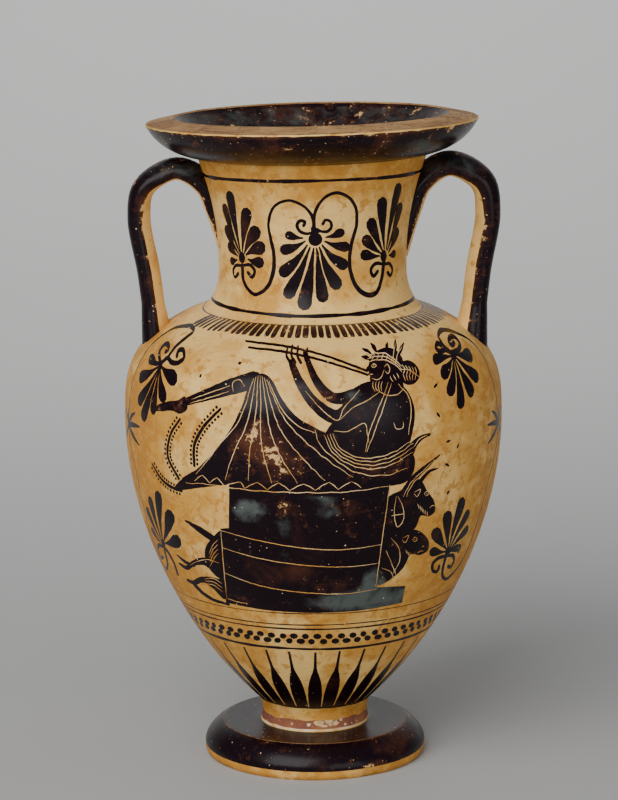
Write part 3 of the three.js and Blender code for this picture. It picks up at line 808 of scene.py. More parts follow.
def turned(stretch, start=None, end=None, uneven=None):
    """Rolls one smooth stretch round the axis. start and end are rings that exist already."""
    line = np.array([p[:2] for p in stretch], float)
    slope = np.gradient(line, np.concatenate([[0], np.cumsum(np.hypot(*np.diff(line, axis=0).T))]),
                        axis=0)
    rings = []
    for k, (r, z) in enumerate(line):
        if k == 0 and start:
            rings.append(start)
        elif k == len(line) - 1 and end:
            rings.append(end)
        elif r == 0:
            rings.append([put(0, z, 0)] * COLUMNS)
        else:
            ring = []
            for c in range(COLUMNS):
                angle = (c / COLUMNS * 2 - 0.5) * math.pi
                dr, dz = uneven(k, angle) if uneven else (0, 0)
                ring.append(put(r + dr, z + dz, angle))
            rings.append(ring)
    for k in range(1, len(rings)):
        for c in range(COLUMNS):
            n = (c + 1) % COLUMNS
            angles = [(c / COLUMNS * 2 - 0.5) * math.pi, ((c + 1) / COLUMNS * 2 - 0.5) * math.pi]
            corners = [(rings[k - 1][c], angles[0], k - 1), (rings[k - 1][n], angles[1], k - 1),
                       (rings[k][n], angles[1], k), (rings[k][c], angles[0], k)]
            kept = [corner for j, corner in enumerate(corners)
                    if corner[0] != corners[j - 1][0]]
            faces.append(tuple(i for i, _, _ in kept))
            finishes.append(stretch[k][2])
            corner_normals.extend(facing(slope[s], a) for _, a, s in kept)
    return rings[-1]


def chip(angle, where, wide, deep):
    """How much clay a chip has taken out of an edge, at this angle."""
    off = (angle - math.radians(where) + math.pi) % (2 * math.pi) - math.pi
    share = max(0.0, 1 - (off / math.radians(wide)) ** 2)
    return deep * share * (0.75 + 0.5 * noise.noise(Vector((angle * 9, where, 0.3))))


# Chips, each as its angle in degrees, how many degrees it reaches to either side, and its depth.
foot_chips = [(27, 3.2, 1.5), (33, 2.4, 1.1), (-52, 2.6, 0.7), (118, 3, 1.0), (-140, 4, 1.3)]
lip_chips = [(-28, 1.6, 0.7), (9, 1.2, 0.5), (38, 2.2, 0.9), (-71, 1.8, 0.6), (96, 2.5, 1.0),
             (171, 3.0, 1.1), (-128, 2.0, 0.8)]


def foot_edge(k, angle):
    """The foot's lower edge is a little uneven, with chips out of it."""
    loss = sum(chip(angle, *c) for c in foot_chips) * (0.5, 1.0, 1.0, 0.8, 0.35)[min(k, 4)]
    return -loss - 0.1 + 0.1 * noise.noise(Vector((angle * 4, k, 7.0))), 0.0


# The foot, from the middle of its hollow out over the resting ring and up to the stem.
hollow = [(r, z, WORN_CLAY) for r, z in bezier((0, 11.5), (30.75, 9.2), (41.0, 0.5), steps=10)]
hollow_ring = turned(hollow)
rest_ring = turned([(41.0, 0.5, WORN_CLAY), (41.7, 0.0, WORN_CLAY), (50.0, 0.0, WORN_CLAY)],
                   hollow_ring)
edge_ring = turned([(50.0, 0.0, BARE_CLAY), (50.9, 0.7, BARE_CLAY), (51.4, 2.0, BARE_CLAY),
                    (51.6, 3.2, BARE_CLAY), (51.5, 4.3, BARE_CLAY)], rest_ring,
                   uneven=foot_edge)
side = [(51.5, 4.3, BLACK_SLIP)] + [(r - 0.1, z, BLACK_SLIP) for r, z in
        bezier((51.6, 4.9), (51.6, 8.8), (47.0, 13.4), (43.6, 14.9), steps=12)]
ridge_ring = turned(side, edge_ring)
ridge_ring = turned([(43.5, 14.9, BLACK_SLIP), (43.1, 15.1, BLACK_SLIP), (42.8, 15.2, WORN_CLAY),
                     (42.2, 15.2, BLACK_SLIP)], ridge_ring)
turned([(42.2, 15.2, BLACK_SLIP), (36.0, 15.1, BLACK_SLIP), (30.0, 15.0, BLACK_SLIP),
        (27.0, 15.0, BLACK_SLIP), (stem_foot, foot_height, BLACK_SLIP)], ridge_ring, stem_ring)


def lip_edge_wear(k, angle):
    """The slip has rubbed away along the corner, and small chips are out of it."""
    loss = sum(chip(angle, *c) for c in lip_chips) * (0.2, 0.7, 1.0, 0.7, 0.2)[min(k, 4)]
    bared = max(0.3 + 1.0 * noise.noise(Vector((angle * 16, 3.0, 1.0))), 0) * (0.75, 0.5)[k] \
        if k < 2 else 0
    return -loss - 0.3 * bared, -0.3 * loss - bared


# The mouth, from the top of the neck up its outside, over the lip and down the black cup.
bowl = [(r, z, BLACK_SLIP) for r, z in
        bezier((54.2, 281.5), (69.6, 284.4), (75.3, 295.9), steps=16)[:-1]]
root_ring = turned([(neck_radius, neck_top, BLACK_SLIP), (53.4, 281.3, BLACK_SLIP),
                    (54.2, 281.5, BLACK_SLIP)], neck_ring)
bowl_ring = turned(bowl, root_ring)
bowl_ring = turned([(*bowl[-1][:2], BLACK_SLIP), (75.3, 295.9, BLACK_SLIP)], bowl_ring,
                   uneven=lambda k, angle: lip_edge_wear(0, angle))
lip_ring = turned([(75.3, 295.9, BLACK_SLIP), (75.55, 296.35, BLACK_SLIP),
                   (75.5, 296.65, BARE_CLAY), (75.1, 296.8, BARE_CLAY),
                   (74.3, 296.97, WORN_CLAY)], bowl_ring, uneven=lip_edge_wear)
lip_ring = turned([(74.3, 296.97, WORN_CLAY), (70.0, 297.9, WORN_CLAY), (66.0, 298.74, WORN_CLAY),
                   (63.6, 299.25, WORN_CLAY)], lip_ring)
inner_ring = turned([(63.6, 299.25, WORN_CLAY), (63.1, 299.36, WORN_CLAY),
                     (62.7, 299.2, WORN_CLAY), (62.3, 298.7, WORN_CLAY), (61.5, 298.0, BLACK_SLIP),
                     (60.3, 297.0, BLACK_SLIP)], lip_ring)
cup = [(r, z, BLACK_SLIP) for r, z in
       bezier((60.3, 297.0), (46.5, 285.4), (37.4, 275.8), steps=12)]
throat, throat_foot = turned(cup, inner_ring), (43.0, 205.4)
throat = turned([(37.4, 275.8, BLACK_SLIP), (37.2, 268.0, BLACK_SLIP), (37.3, 258.0, BLACK_SLIP),
                 (37.4, 248.0, INSIDE_CLAY), (37.4, 216.6, INSIDE_CLAY),
                 (*throat_foot, INSIDE_CLAY)], throat)

# The inside of the body runs at the wall's thickness behind the outside, down to the floor.
wall_thickness = 5.6
inside = [throat_foot]
for k in range(len(wall_line) - 1, 0, -4):
    (r, z), (dr, dz) = wall_line[k], wall_slope[k] / np.hypot(*wall_slope[k])
    r, z = r - wall_thickness * dz, z + wall_thickness * dr
    under_shoulder, above_floor = r > 46 and 26 < z < 201.5, r > 18 and 25.5 < z < 120
    if under_shoulder or above_floor:
        inside.append((r, z))
inside += [(inside[-1][0] * 0.6, 23.2), (0.0, 22.5)]
turned([(r, z, INSIDE_CLAY) for r, z in inside], throat)


# The two handles: rods of clay, oval in section with a low rib down the outer face, bent
# over and luted on under the mouth and on the shoulder. The outer face is slipped black.

handle_path = flow([(36.5, 236.3), (42.5, 254.3), (49.3, 268.5), (62.6, 275.9), (77.6, 267.5),
                    (80.3, 253.3), (76.2, 227.6), (73.6, 204.2), (72.2, 191.2)], 2.4)
left_thickness, right_thickness, handle_width, rib_height = 10.0, 11.0, 15.4, 0.6
left_shift = 0.9  # how much closer in the left one sits
landing_flare, root_swell = 0.46, 0.22  # how much fuller the ends are, as a share
sunk, sunk_root = 2.4, 2.6  # how deep the ends go into the shoulder and the neck
handle_sides, slipped_sides = 40, 14  # sides round the rod, and slipped ones to either side
slip_edge = slipped_sides / handle_sides * 2 * math.pi


def add_node(tree, kind, feeds=(), **settings):
    """Adds a node. settings are its own properties, and feeds are what its sockets take."""
    made = tree.nodes.new(kind)
    for name, value in settings.items():
        setattr(made, name, value)
    for socket, value in dict(feeds).items():
        if isinstance(value, bpy.types.NodeSocket):
            tree.links.new(value, made.inputs[socket])
        else:
            made.inputs[socket].default_value = value
    return made


def reckon(tree, operation, a, b=0.0, c=0.0):
    """Arithmetic on two or three values."""
    return add_node(tree, "ShaderNodeMath", {0: a, 1: b, 2: c}, operation=operation).outputs[0]


def times(tree, a, b):
    return reckon(tree, "MULTIPLY", a, b)


def plus(tree, a, b):
    return reckon(tree, "ADD", a, b)


def handle_tree():
    """Sweeps an oval with a rib along the path, fuller where it leaves the neck and lands."""
    tree = bpy.data.node_groups.new("bent handle", "GeometryNodeTree")
    for name, kind in (("Path", "NodeSocketGeometry"), ("Sides", "NodeSocketInt"),
                       ("Thickness", "NodeSocketFloat"), ("Width", "NodeSocketFloat"),
                       ("Rib", "NodeSocketFloat"), ("Landing flare", "NodeSocketFloat"),
                       ("Root swell", "NodeSocketFloat"), ("Finish", "NodeSocketMaterial")):
        tree.interface.new_socket(name, in_out="INPUT", socket_type=kind)
    tree.interface.new_socket("Handle", in_out="OUTPUT", socket_type="NodeSocketGeometry")
    given = add_node(tree, "NodeGroupInput").outputs

    # The swell is full at each end of the rod and fades away over a share of its length.
    landing_share, root_share = 0.15, 0.34
    share = add_node(tree, "GeometryNodeSplineParameter").outputs["Factor"]
    to_go = reckon(tree, "SUBTRACT", 1.0, share)
    near_landing = reckon(tree, "MAXIMUM", reckon(tree, "SUBTRACT", 1.0, reckon(
        tree, "DIVIDE", to_go, landing_share)), 0.0)
    near_root = reckon(tree, "MAXIMUM", reckon(tree, "SUBTRACT", 1.0, reckon(
        tree, "DIVIDE", share, root_share)), 0.0)
    swell = plus(tree, 1.0, plus(tree, times(tree, near_landing, given["Landing flare"]),
                                 times(tree, near_root, given["Root swell"])))

    # The section: a circle squeezed into an oval, with the rib on its outer face.
    circle = add_node(tree, "GeometryNodeCurvePrimitiveCircle",
                      {"Resolution": given["Sides"], "Radius": 1.0}).outputs[0]
    at = add_node(tree, "ShaderNodeSeparateXYZ",
                  {0: add_node(tree, "GeometryNodeInputPosition").outputs[0]}).outputs
    outer = reckon(tree, "POWER", reckon(tree, "MAXIMUM", at["X"], 0.0), 6.0)
    thick = plus(tree, times(tree, times(tree, at["X"], 0.5), given["Thickness"]),
                 times(tree, outer, given["Rib"]))
    wide = times(tree, times(tree, at["Y"], 0.5), given["Width"])
    oval = add_node(tree, "GeometryNodeSetPosition", {
        "Geometry": circle,
        "Position": add_node(tree, "ShaderNodeCombineXYZ", {"X": wide, "Y": thick}).outputs[0],
    }).outputs[0]
    path = add_node(tree, "GeometryNodeMeshToCurve", {"Mesh": given["Path"]}).outputs[0]

    # The section swept along the path.
    rod = add_node(tree, "GeometryNodeCurveToMesh", {
        "Curve": path, "Profile Curve": oval, "Scale": swell, "Fill Caps": True}).outputs[0]
    plain = add_node(tree, "GeometryNodeRealizeInstances", {"Geometry": rod}).outputs[0]
    finished = add_node(tree, "GeometryNodeSetMaterial",
                        {"Geometry": plain, "Material": given["Finish"]}).outputs[0]
    add_node(tree, "NodeGroupOutput", {0: finished})
    return tree


def body_height(radius):
    """The height of the shoulder's surface at a radius."""
    return float(np.interp(shoulder_run(radius), wall_run, wall_line[:, 1]))


def bent_rod(thickness, tree):
    """The rod that the tree bends along the path, as a plain mesh."""
    line = bpy.data.meshes.new("handle path")
    line.from_pydata([(r * MM, 0, z * MM) for r, z in handle_path],
                     [(k, k + 1) for k in range(len(handle_path) - 1)], [])
    rod = bpy.data.objects.new("handle", line)
    bpy.context.collection.objects.link(rod)
    bend = rod.modifiers.new("bent handle", "NODES")
    bend.node_group = tree
    sizes = {"Sides": handle_sides, "Thickness": thickness * MM, "Width": handle_width * MM,
             "Rib": rib_height * MM, "Landing flare": landing_flare, "Root swell": root_swell}
    for socket in tree.interface.items_tree:
        if socket.name in sizes and socket.in_out == "INPUT":
            bend[socket.identifier] = sizes[socket.name]
    bpy.context.view_layer.update()
    made = bpy.data.meshes.new_from_object(
        rod.evaluated_get(bpy.context.evaluated_depsgraph_get()))
    rod.modifiers.remove(bend)
    bpy.data.objects.remove(rod)
    return made


def slid_to(border, angle):
    """Where a point of the rod goes round it, when slip_edge is moved to the wavering border."""
    if angle <= slip_edge:
        return angle * border / slip_edge
    return border + (angle - slip_edge) * (math.pi - border) / (math.pi - slip_edge)


def pressed_on(x, y, z):
    """The same point, kept within the clay of the shoulder or the neck where it is luted on."""
    if z < 225 and x > 60:
        z = max(z, body_height(min(math.hypot(x, y), body_radius - 1)) - sunk)
    elif x < 55:
        least = radius_at(z) - sunk_root
        if math.hypot(x, y) < least:
            x = math.sqrt(max(least ** 2 - y ** 2, 1))
    return x, z


def add_handle(side, thickness, shift, tree):
    """Joins one handle to the skin: side is -1 for the left, shift how much closer in it sits."""
    made = bent_rod(thickness, tree)
    way = np.gradient(handle_path, axis=0)
    way /= np.hypot(way[:, 0], way[:, 1])[:, None]
    rings = np.array([v.co for v in made.vertices]).reshape(-1, handle_sides, 3) / MM
    normals = np.array([v.normal for v in made.vertices])
    first, angles = len(places), []
    for k, ring in enumerate(rings):
        share = k / (len(rings) - 1)
        outward = np.array((-way[k][1], way[k][0]))
        out = (ring[:, [0, 2]] - handle_path[k]) @ outward
        thick, wide = -out.min(), ring[:, 1].max()
        reach = -0.88 + 0.46 * min(max((share - 0.4) / 0.2, 0), 1)  # the slip goes less far below
        for (x, y, z), o in zip(ring, out):
            angle = abs(math.atan2(y / wide, o / thick))
            angles.append(angle)
            tremble = 0.07 * noise.noise(Vector((k * 0.25, side * 3, y > 0)))
            slid = slid_to(math.acos(reach + tremble), angle)
            x, z = np.array((x, z)) + outward * thick * (math.cos(slid) - math.cos(angle))
            y = math.copysign(wide * math.sin(slid), y)
            x, z = pressed_on(x, y, z)
            x = (x - shift) * side

            # The slip is worn most along its edge, and a little down the rib.
            along_edge = math.exp(-((angle - slip_edge) / 0.3) ** 2)
            down_rib = max(0, math.cos(angle)) ** 8
            handle_wear.append((len(places), 0.16 + 0.06 * side + 0.85 * along_edge
                                + 0.4 * down_rib))
            places.append((x * MM, y * MM, leaning(x, y, z) * MM))
    for face in made.polygons:
        corners = list(face.vertices)
        ways = [normals[c] if len(corners) < 5 else face.normal for c in corners]
        if side < 0:
            corners.reverse()
            ways.reverse()
        faces.append(tuple(first + c for c in corners))
        corner_normals.extend((n[0] * side, n[1], n[2]) for n in ways)
        slipped = sum(angles[c] for c in corners) / len(corners) < slip_edge
        finishes.append(BLACK_SLIP if slipped else BARE_CLAY)


handle_wear = []  # (point, how worn its slip is)
bent_handle = handle_tree()
add_handle(-1, left_thickness, left_shift, bent_handle)
add_handle(1, right_thickness, 0.0, bent_handle)


# The finishes. The clay fired pale with golden and orange clouds in it, with painted shade
# deepening the gold towards the flanks. The slip fired black and glossy where it lay thick, brown
# where it was thin, and has flaked and worn; a grey-green haze over it is a painted sheen on the
# mouth's outside and greyed slip elsewhere.

skin = bpy.data.meshes.new("amphora skin")
skin.from_pydata(places, [], faces)
skin.polygons.foreach_set("material_index", finishes)
skin.polygons.foreach_set("use_smooth", [True] * len(faces))
skin.update()
skin.normals_split_custom_set(corner_normals)
amphora = bpy.data.objects.new("amphora_painted", skin)
bpy.context.collection.objects.link(amphora)

place = np.array(places) / MM
around = np.arctan2(place[:, 0], -place[:, 1])
out_from_axis = np.hypot(place[:, 0], place[:, 1])
height = place[:, 2]


def patch(at_u, at_height, wide, high, amount):
    """A soft-edged patch on the front, centred at a place that is given as in a drawing."""
    u = around * np.maximum(out_from_axis, 1)
    return amount * np.exp(-((u - at_u) / wide) ** 2 - ((height - at_height) / high) ** 2)


def band(at_height, high, amount):
    """A soft-edged band all round."""
    return amount * np.exp(-((height - at_height) / high) ** 2)


def patches(given):
    """Patches added up. Each is given as its u and z, how wide and high it is, and how strong."""
    return sum(patch(*each) for each in given)


# How golden the clay is (deeper towards the flanks as painted shade), how grey-green the slip is (a
# painted sheen on the mouth's outside, greyed slip elsewhere) and how rubbed off it is, at every
# point.
in_cup = (height > 284) & (out_from_axis < 61.2)
on_body = (height > 26) & (height < 281) & (out_from_axis < 88)
# Painted shade: the sin(around) term turns the clay deeper gold towards both flanks below the
# shoulder, in place of the light falling off there. The bands and patches deepen or pale the gold
# at given heights and places.
golden_and_shade = (0.22 + 0.34 * np.sin(around) ** 2 * (height < 200) + band(85, 40, 0.3)
          - band(212, 11, 0.24) + band(277, 12, 0.45) + 0.45 * (height < 5) + band(23, 4, 0.4)
          + patches([(-20, 222, 14, 12, 0.4), (-95, 150, 18, 60, 0.45), (95, 130, 18, 60, 0.1)]))
# Painted sheen: the two patches at heights 291 and 292 on the outside of the mouth lay a grey-green
# haze where light is reflected. The cup and the other patches grey the slip.
sheen_and_grey_haze = 0.62 * in_cup + patches([
    (-29, 133, 9, 6, 1.3), (-13, 127, 5, 7, 0.8), (6, 133, 8, 5, 0.8), (16, 89, 20, 5.5, 1.5),
    (40, 89.5, 12, 5, 1.3), (27, 98, 6, 8, 1.4), (5, 139.5, 22, 2.5, 0.8), (-12, 112, 12, 5, 0.6),
    (-70, 176, 12, 8, 0.4), (28, 178, 12, 8, 0.4), (17, 186, 7, 4, 0.62), (52, 291, 13, 5, 0.9),
    (-62, 292, 14, 5, 0.5)])
rubbed = on_body * patches([
    (-25, 160, 11, 11, 0.85), (-12, 156, 10, 8, 0.75), (-25.4, 170.5, 2.4, 4.5, 1.1),
    (-13.4, 159, 3.4, 3.6, 0.9), (-8.6, 153.7, 3, 2, 1.0), (-34, 167, 6, 5, 0.5),
    (-12, 135, 8, 3, 0.8), (16, 134, 9, 4, 0.7), (8, 98, 10, 4, 0.6), (-8, 105, 8, 4, 0.4),
    (22, 176, 9, 9, 0.15), (30, 154, 12, 5, 0.55), (25, 245.6, 3.6, 3.0, 1.0),
    (-16, 275, 6, 1.5, 0.8), (27, 276, 5, 1.5, 0.7), (2.5, 172, 6, 4, 0.85), (-6, 196, 7, 8, 0.6),
    (6, 184, 6, 6, 0.4), (-70, 176, 16, 8, 0.35)])
lip_corner = np.exp(-((out_from_axis - 75.5) / 0.6) ** 2) * (height > 293)
foot_ridge = np.exp(-((out_from_axis - 43.0) / 0.5) ** 2) * (height < 16) * (height > 14)
rubbed += (0.62 * lip_corner + 0.5 * foot_ridge + 0.12 * (height < 16) + 0.3 * (height > 281)
           + 0.2 * in_cup)

# Slip broken away above the largest chip in the foot.
rubbed += (1.6 * np.exp(-((around - 0.6) / 0.07) ** 2 - ((height - 5.4) / 1.6) ** 2)
           + 1.1 * np.exp(-((around - 0.45) / 0.1) ** 2 - ((height - 5.0) / 1.0) ** 2))

# The handles wear in their own way, and their slip is greyed towards the top.
for index, wear in handle_wear:
    rubbed[index] += wear
    golden_and_shade[index] = 0.08
    sheen_and_grey_haze[index] += 0.62 * min(max((height[index] - 252) / 22, 0), 1)
for label, values in (("golden_and_shade", golden_and_shade), ("sheen_and_grey_haze", sheen_and_grey_haze), ("rubbed", rubbed)):
    skin.attributes.new(label, "FLOAT", "POINT").data.foreach_set(
        "value", np.clip(values, 0, 1).astype(np.float32))


def tint(red, green, blue):
    """A colour as it is seen, 0 to 255, turned into light."""
    return tuple((c / 255 / 12.92) if c <= 10 else ((c / 255 + 0.055) / 1.055) ** 2.4
                 for c in (red, green, blue)) + (1.0,)


def shader_node(tree, kind, feeds=(), **settings):
    """Adds a shader node, in the same way."""
    return add_node(tree, "ShaderNode" + kind, feeds, **settings)


def sheet_of(tree, scale, detail=4.0, rough=0.55, vector=None, distort=0.0):
    """A noise over the clay, in the piece's own frame."""
    vector = vector or shader_node(tree, "TexCoord").outputs["Object"]
    return shader_node(tree, "TexNoise", {"Vector": vector, "Scale": scale, "Detail": detail,
                                          "Roughness": rough, "Distortion": distort}).outputs[0]


def between(tree, value, low, high):
    """A mask that rises from 0 to 1 as the value goes from low to high."""
    return shader_node(tree, "MapRange", {"Value": value, "From Min": low, "From Max": high},
                       interpolation_type="SMOOTHSTEP").outputs[0]


def blend(tree, share, a, b):
    """Colour a, with a share of colour b over it."""
    mix = shader_node(tree, "Mix", data_type="RGBA")
    for socket, value in ((mix.inputs[0], share), (mix.inputs[6], a), (mix.inputs[7], b)):
        if isinstance(value, bpy.types.NodeSocket):
            tree.links.new(value, socket)
        else:
            socket.default_value = value
    return mix.outputs[2]


def effect(name, wanted, given):
    """An empty shader node group with named inputs and outputs."""
    tree = bpy.data.node_groups.new(name, "ShaderNodeTree")
    for label, kind in wanted:
        tree.interface.new_socket(label, in_out="INPUT", socket_type="NodeSocket" + kind)
    for label, kind in given:
        tree.interface.new_socket(label, in_out="OUTPUT", socket_type="NodeSocket" + kind)
    return tree, add_node(tree, "NodeGroupInput").outputs


def round_the_wheel(tree):
    """A place whose noise is drawn out along the circumference, as the wheel leaves it."""
    at = shader_node(tree, "TexCoord").outputs["Object"]
    flat = shader_node(tree, "VectorMath", {0: at, 1: (1.0, 1.0, 0.0)},
                       operation="MULTIPLY").outputs[0]
    circle = shader_node(tree, "VectorMath", {0: flat}, operation="NORMALIZE").outputs[0]
    ring = shader_node(tree, "VectorMath", {0: circle, 1: (0.016, 0.016, 0.0)},
                       operation="MULTIPLY").outputs[0]
    return shader_node(tree, "VectorMath", {0: at, 1: (0.06, 0.06, 1.0), 2: ring},
                       operation="MULTIPLY_ADD").outputs[0]


def distance_out(tree):
    """How far a place is from the turning axis, with its height added."""
    at = shader_node(tree, "TexCoord").outputs["Object"]
    flat = shader_node(tree, "VectorMath", {0: at, 1: (1.0, 1.0, 0.0)},
                       operation="MULTIPLY").outputs[0]
    out = shader_node(tree, "VectorMath", {0: flat}, operation="LENGTH").outputs["Value"]
    rise = shader_node(tree, "SeparateXYZ", {0: at}).outputs[2]
    sway = sheet_of(tree, 14.0, 2.0, 0.5)
    return shader_node(tree, "CombineXYZ", {0: plus(tree, out, times(tree, sway, 0.004)),
                                            1: times(tree, sway, 0.02), 2: rise}).outputs[0]


# Fired clay: pale, with golden clouds (deepened also by the painted shade towards the flanks),
# stains, the wheel's marks and a dark and light grain.
clay, want = effect("fired clay", [("Pale", "Color"), ("Golden", "Color"), ("Stain", "Color"),
                                   ("Clouds", "Float"), ("Wheel marks", "Float")],
                    [("Color", "Color"), ("Roughness", "Float"), ("Height", "Float")])
# This map deepens the gold: golden clouds in the clay, and painted shade towards the flanks.
marked = shader_node(clay, "Attribute", attribute_name="golden_and_shade").outputs["Fac"]
lean = times(clay, marked, 0.34)
cloud = sheet_of(clay, 42.0, 5.0, 0.6, distort=0.4)
clouds = between(clay, plus(clay, cloud, lean), 0.50, 0.76)
colour = blend(clay, times(clay, clouds, want["Clouds"]), want["Pale"], want["Golden"])
spots = between(clay, plus(clay, sheet_of(clay, 95.0, 6.0, 0.7), lean), 0.66, 0.92)
colour = blend(clay, times(clay, spots, 0.5), colour, want["Stain"])
blots = between(clay, plus(clay, sheet_of(clay, 210.0, 5.0, 0.6), times(clay, lean, 0.45)),
                0.60, 0.67)
deep = blend(clay, 0.4, want["Golden"], want["Stain"])
colour = blend(clay, times(clay, blots, 0.7), colour, deep)
marks = between(clay, sheet_of(clay, 900.0, 4.0, 0.6, distance_out(clay)), 0.46, 0.64)
colour = blend(clay, times(clay, marks, want["Wheel marks"]), colour, want["Stain"])
grain = sheet_of(clay, 700.0, 4.0, 0.7)
dark_grain = between(clay, grain, 0.56, 0.72)
colour = blend(clay, times(clay, dark_grain, 0.28), colour, want["Stain"])
light_grain = between(clay, grain, 0.42, 0.30)
colour = blend(clay, times(clay, light_grain, 0.3), colour, tint(246, 226, 196))
add_node(clay, "NodeGroupOutput", {
    "Color": colour, "Roughness": plus(clay, times(clay, grain, 0.3), 0.42),
    "Height": plus(clay, times(clay, grain, 0.5), cloud)})

# Slip on clay: black where it is thick and brown where it is thin.
slip, want = effect("slip on clay",
                    [("Slip", "Color"), ("Thin slip", "Color"), ("Clay", "Color"),
                     ("Thinness", "Float"), ("Loss", "Float"), ("Streaks", "Float")],
                    [("Color", "Color"), ("Roughness", "Float"), ("Height", "Float")])
worn = shader_node(slip, "Attribute", attribute_name="rubbed").outputs["Fac"]
# The grey-green haze map: a painted sheen on the mouth's outside, and greyed slip elsewhere.
sheen_and_grey_haze_fac = shader_node(slip, "Attribute", attribute_name="sheen_and_grey_haze").outputs["Fac"]

# Where it is gone: in flakes that are brown round the edge, in pits, and in pale specks.
loss = plus(slip, want["Loss"], times(slip, worn, 0.55))
peeling = plus(slip, sheet_of(slip, 150.0, 8.0, 0.74), times(slip, loss, 0.28))
flakes = between(slip, peeling, 0.71, 0.75)
singed = times(slip, between(slip, peeling, 0.60, 0.71), 0.75)
pits = between(slip, plus(slip, sheet_of(slip, 620.0, 3.0, 0.6), times(slip, loss, 0.14)),
               0.72, 0.78)
at = shader_node(slip, "TexCoord").outputs["Object"]
cells = shader_node(slip, "TexVoronoi", {"Vector": at, "Scale": 290.0}).outputs
chance = shader_node(slip, "SeparateXYZ", {0: cells["Color"]}).outputs
speck_size = reckon(slip, "MULTIPLY_ADD", chance[1], 0.1, 0.04)
left_whole = reckon(slip, "SUBTRACT", 0.76, times(slip, worn, 0.4))
specks = times(slip, between(slip, cells["Distance"], speck_size, 0.04),
               reckon(slip, "GREATER_THAN", chance[0], left_whole))
gone = reckon(slip, "MAXIMUM", reckon(slip, "MAXIMUM", flakes, pits), specks)

# Where it is thin: in clouds, round the flakes, and in streaks along the circumference.
brushed = plus(slip, sheet_of(slip, 760.0, 5.0, 0.65, round_the_wheel(slip)),
               times(slip, worn, 0.25))
streaks = times(slip, want["Streaks"], between(slip, brushed, 0.60, 0.72))
thinning = times(slip, plus(slip, want["Thinness"], times(slip, worn, 0.6)), 0.4)
thin = plus(slip, sheet_of(slip, 38.0, 5.0, 0.6, distort=0.5), thinning)
thin = reckon(slip, "MAXIMUM", between(slip, thin, 0.62, 0.9),
              reckon(slip, "MAXIMUM", streaks, singed))
colour = blend(slip, times(slip, thin, 0.85), want["Slip"], want["Thin slip"])

# Grey-green haze: a painted sheen on the mouth's outside, and greyed slip elsewhere. Over all that,
# the clay shows where the slip is gone.
cloudy = times(slip, sheet_of(slip, 105.0, 7.0, 0.7, distort=0.5), sheen_and_grey_haze_fac)
haze = between(slip, cloudy, 0.24, 0.56)
colour = blend(slip, times(slip, haze, 0.72), colour, tint(94, 103, 98))
colour = blend(slip, gone, colour, want["Clay"])
colour = blend(slip, specks, colour, tint(232, 212, 178))
dull = reckon(slip, "MAXIMUM", gone, haze)
add_node(slip, "NodeGroupOutput", {
    "Color": colour, "Roughness": plus(slip, 0.27, times(slip, dull, 0.3)),
    "Height": reckon(slip, "SUBTRACT", 1.0, gone)})


def finish_of(name, group, values, gloss, depth):
    """A material: one of the groups above, lit by a shader of its own."""
    material = bpy.data.materials.new(name)
    material.use_nodes = True
    tree = material.node_tree
    tree.nodes.clear()
    laid = shader_node(tree, "Group", node_tree=group)
    for label, value in values.items():
        laid.inputs[label].default_value = value
    lie = shader_node(tree, "Bump", {"Height": laid.outputs["Height"], "Strength": 0.6,
                                     "Distance": depth}).outputs[0]
    shine = shader_node(tree, "BsdfPrincipled", {
        "Base Color": laid.outputs["Color"], "Roughness": laid.outputs["Roughness"],
        "Normal": lie, "Specular IOR Level": gloss, "IOR": 1.3})
    shader_node(tree, "OutputMaterial", {"Surface": shine.outputs[0]})
    return material


pale, gold, stain = tint(242, 199, 120), tint(204, 144, 52), tint(166, 96, 30)
clay_tints = {"Pale": pale, "Golden": gold, "Stain": stain, "Clouds": 0.85, "Wheel marks": 0.06}
black_tints = {"Slip": tint(19, 5, 13), "Thin slip": tint(88, 48, 30),
               "Clay": tint(222, 180, 118), "Thinness": 0.1, "Loss": 0.1, "Streaks": 0.25}
materials = [
    finish_of("reserved clay", clay, clay_tints, 0.35, 0.0003),
    finish_of("thinned slip", slip, {
        **black_tints, "Slip": tint(42, 24, 24), "Thin slip": tint(104, 64, 42),
        "Thinness": 0.3, "Loss": 0.3}, 0.3, 0.0001),
    finish_of("black slip", slip, black_tints, 0.4, 0.0001),
    finish_of("scratched clay", clay, {
        **clay_tints, "Pale": tint(236, 206, 152)}, 0.25, 0.0002),
    finish_of("purple slip", slip, {
        **black_tints, "Slip": tint(132, 80, 66), "Thin slip": tint(176, 116, 70),
        "Clay": tint(230, 190, 140), "Thinness": 0.5, "Loss": 0.35}, 0.3, 0.0002),
    finish_of("cream slip", clay, {
        **clay_tints, "Pale": tint(238, 212, 168), "Golden": tint(220, 182, 126),
        "Clouds": 0.6}, 0.3, 0.0002),
    finish_of("worn clay", clay, {
        **clay_tints, "Pale": tint(184, 142, 88), "Golden": tint(134, 88, 44),
        "Stain": tint(78, 48, 28), "Wheel marks": 0.6}, 0.35, 0.0003),
    finish_of("inside clay", clay, {
        **clay_tints, "Pale": tint(196, 140, 92), "Golden": tint(170, 112, 66),
        "Stain": tint(130, 82, 50)}, 0.25, 0.0006)]
for material in materials:
    skin.materials.append(material)
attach(amphora, "root")
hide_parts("amphora")


# The setting: a pale floor that curves up behind, soft light from the front left, and the
# camera a step away and a little above the mouth.

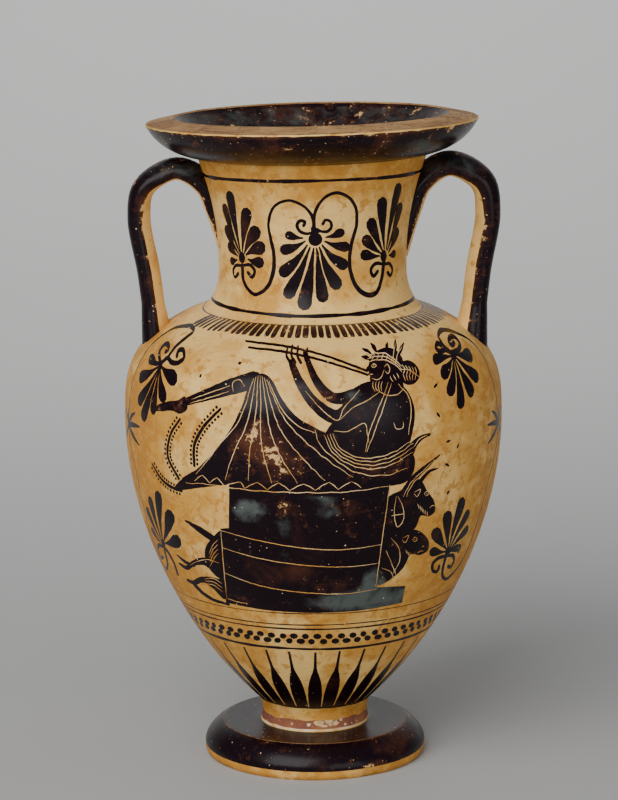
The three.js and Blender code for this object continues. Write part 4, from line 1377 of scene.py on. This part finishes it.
sweep = [(-9.0, 0.0), (1.3, 0.0)] + [(1.3 + 0.9 * math.sin(a), 0.9 - 0.9 * math.cos(a))
                                     for a in np.linspace(0.1, math.pi / 2, 14)] + [(2.2, 3.4)]
backdrop = bpy.data.meshes.new("floor")
backdrop.from_pydata([(x, y, z) for y, z in sweep for x in (-9.0, 9.0)], [],
                     [(2 * k, 2 * k + 1, 2 * k + 3, 2 * k + 2) for k in range(len(sweep) - 1)])
backdrop.polygons.foreach_set("use_smooth", [True] * len(backdrop.polygons))
floor = bpy.data.objects.new("floor", backdrop)
bpy.context.collection.objects.link(floor)
paper = bpy.data.materials.new("pale paper")
paper.use_nodes = True
paper.node_tree.nodes["Principled BSDF"].inputs["Base Color"].default_value = tint(178, 178, 176)
paper.node_tree.nodes["Principled BSDF"].inputs["Roughness"].default_value = 0.9
backdrop.materials.append(paper)

for name, energy, size, at, to in (("window", 46, 1.7, (-0.85, -1.5, 1.3), (0, 0, 0.17)),
                                   ("fill", 13, 1.4, (1.1, -1.8, 0.35), (0, 0, 0.2)),
                                   ("wall", 34, 1.0, (0.0, 0.9, 1.7), (0, 2.2, 1.0))):
    light = bpy.data.lights.new(name, "AREA")
    light.energy, light.size = energy, size
    lamp = bpy.data.objects.new(name, light)
    lamp.location = at
    lamp.rotation_euler = (Vector(to) - Vector(at)).to_track_quat("-Z", "Y").to_euler()
    bpy.context.collection.objects.link(lamp)
sky = bpy.data.worlds.new("room")
sky.use_nodes = True
sky.node_tree.nodes["Background"].inputs["Color"].default_value = (0.9, 0.93, 1.0, 1.0)
sky.node_tree.nodes["Background"].inputs["Strength"].default_value = 0.25
bpy.context.scene.world = sky

# The camera's height, tilt and lens fit how round the foot, shoulder and mouth are seen.
view = bpy.data.cameras.new("camera")
view.lens, view.sensor_width = 147.65, 36.0
camera = bpy.data.objects.new("camera", view)
camera.location = (-0.002, -1.483, 0.467145)
aim = Matrix.Rotation(math.radians(90 - 11.443), 3, "X") @ Matrix.Rotation(
    math.radians(-0.3), 3, "Z")
camera.rotation_euler = aim.to_euler()
bpy.context.collection.objects.link(camera)
bpy.context.scene.camera = camera
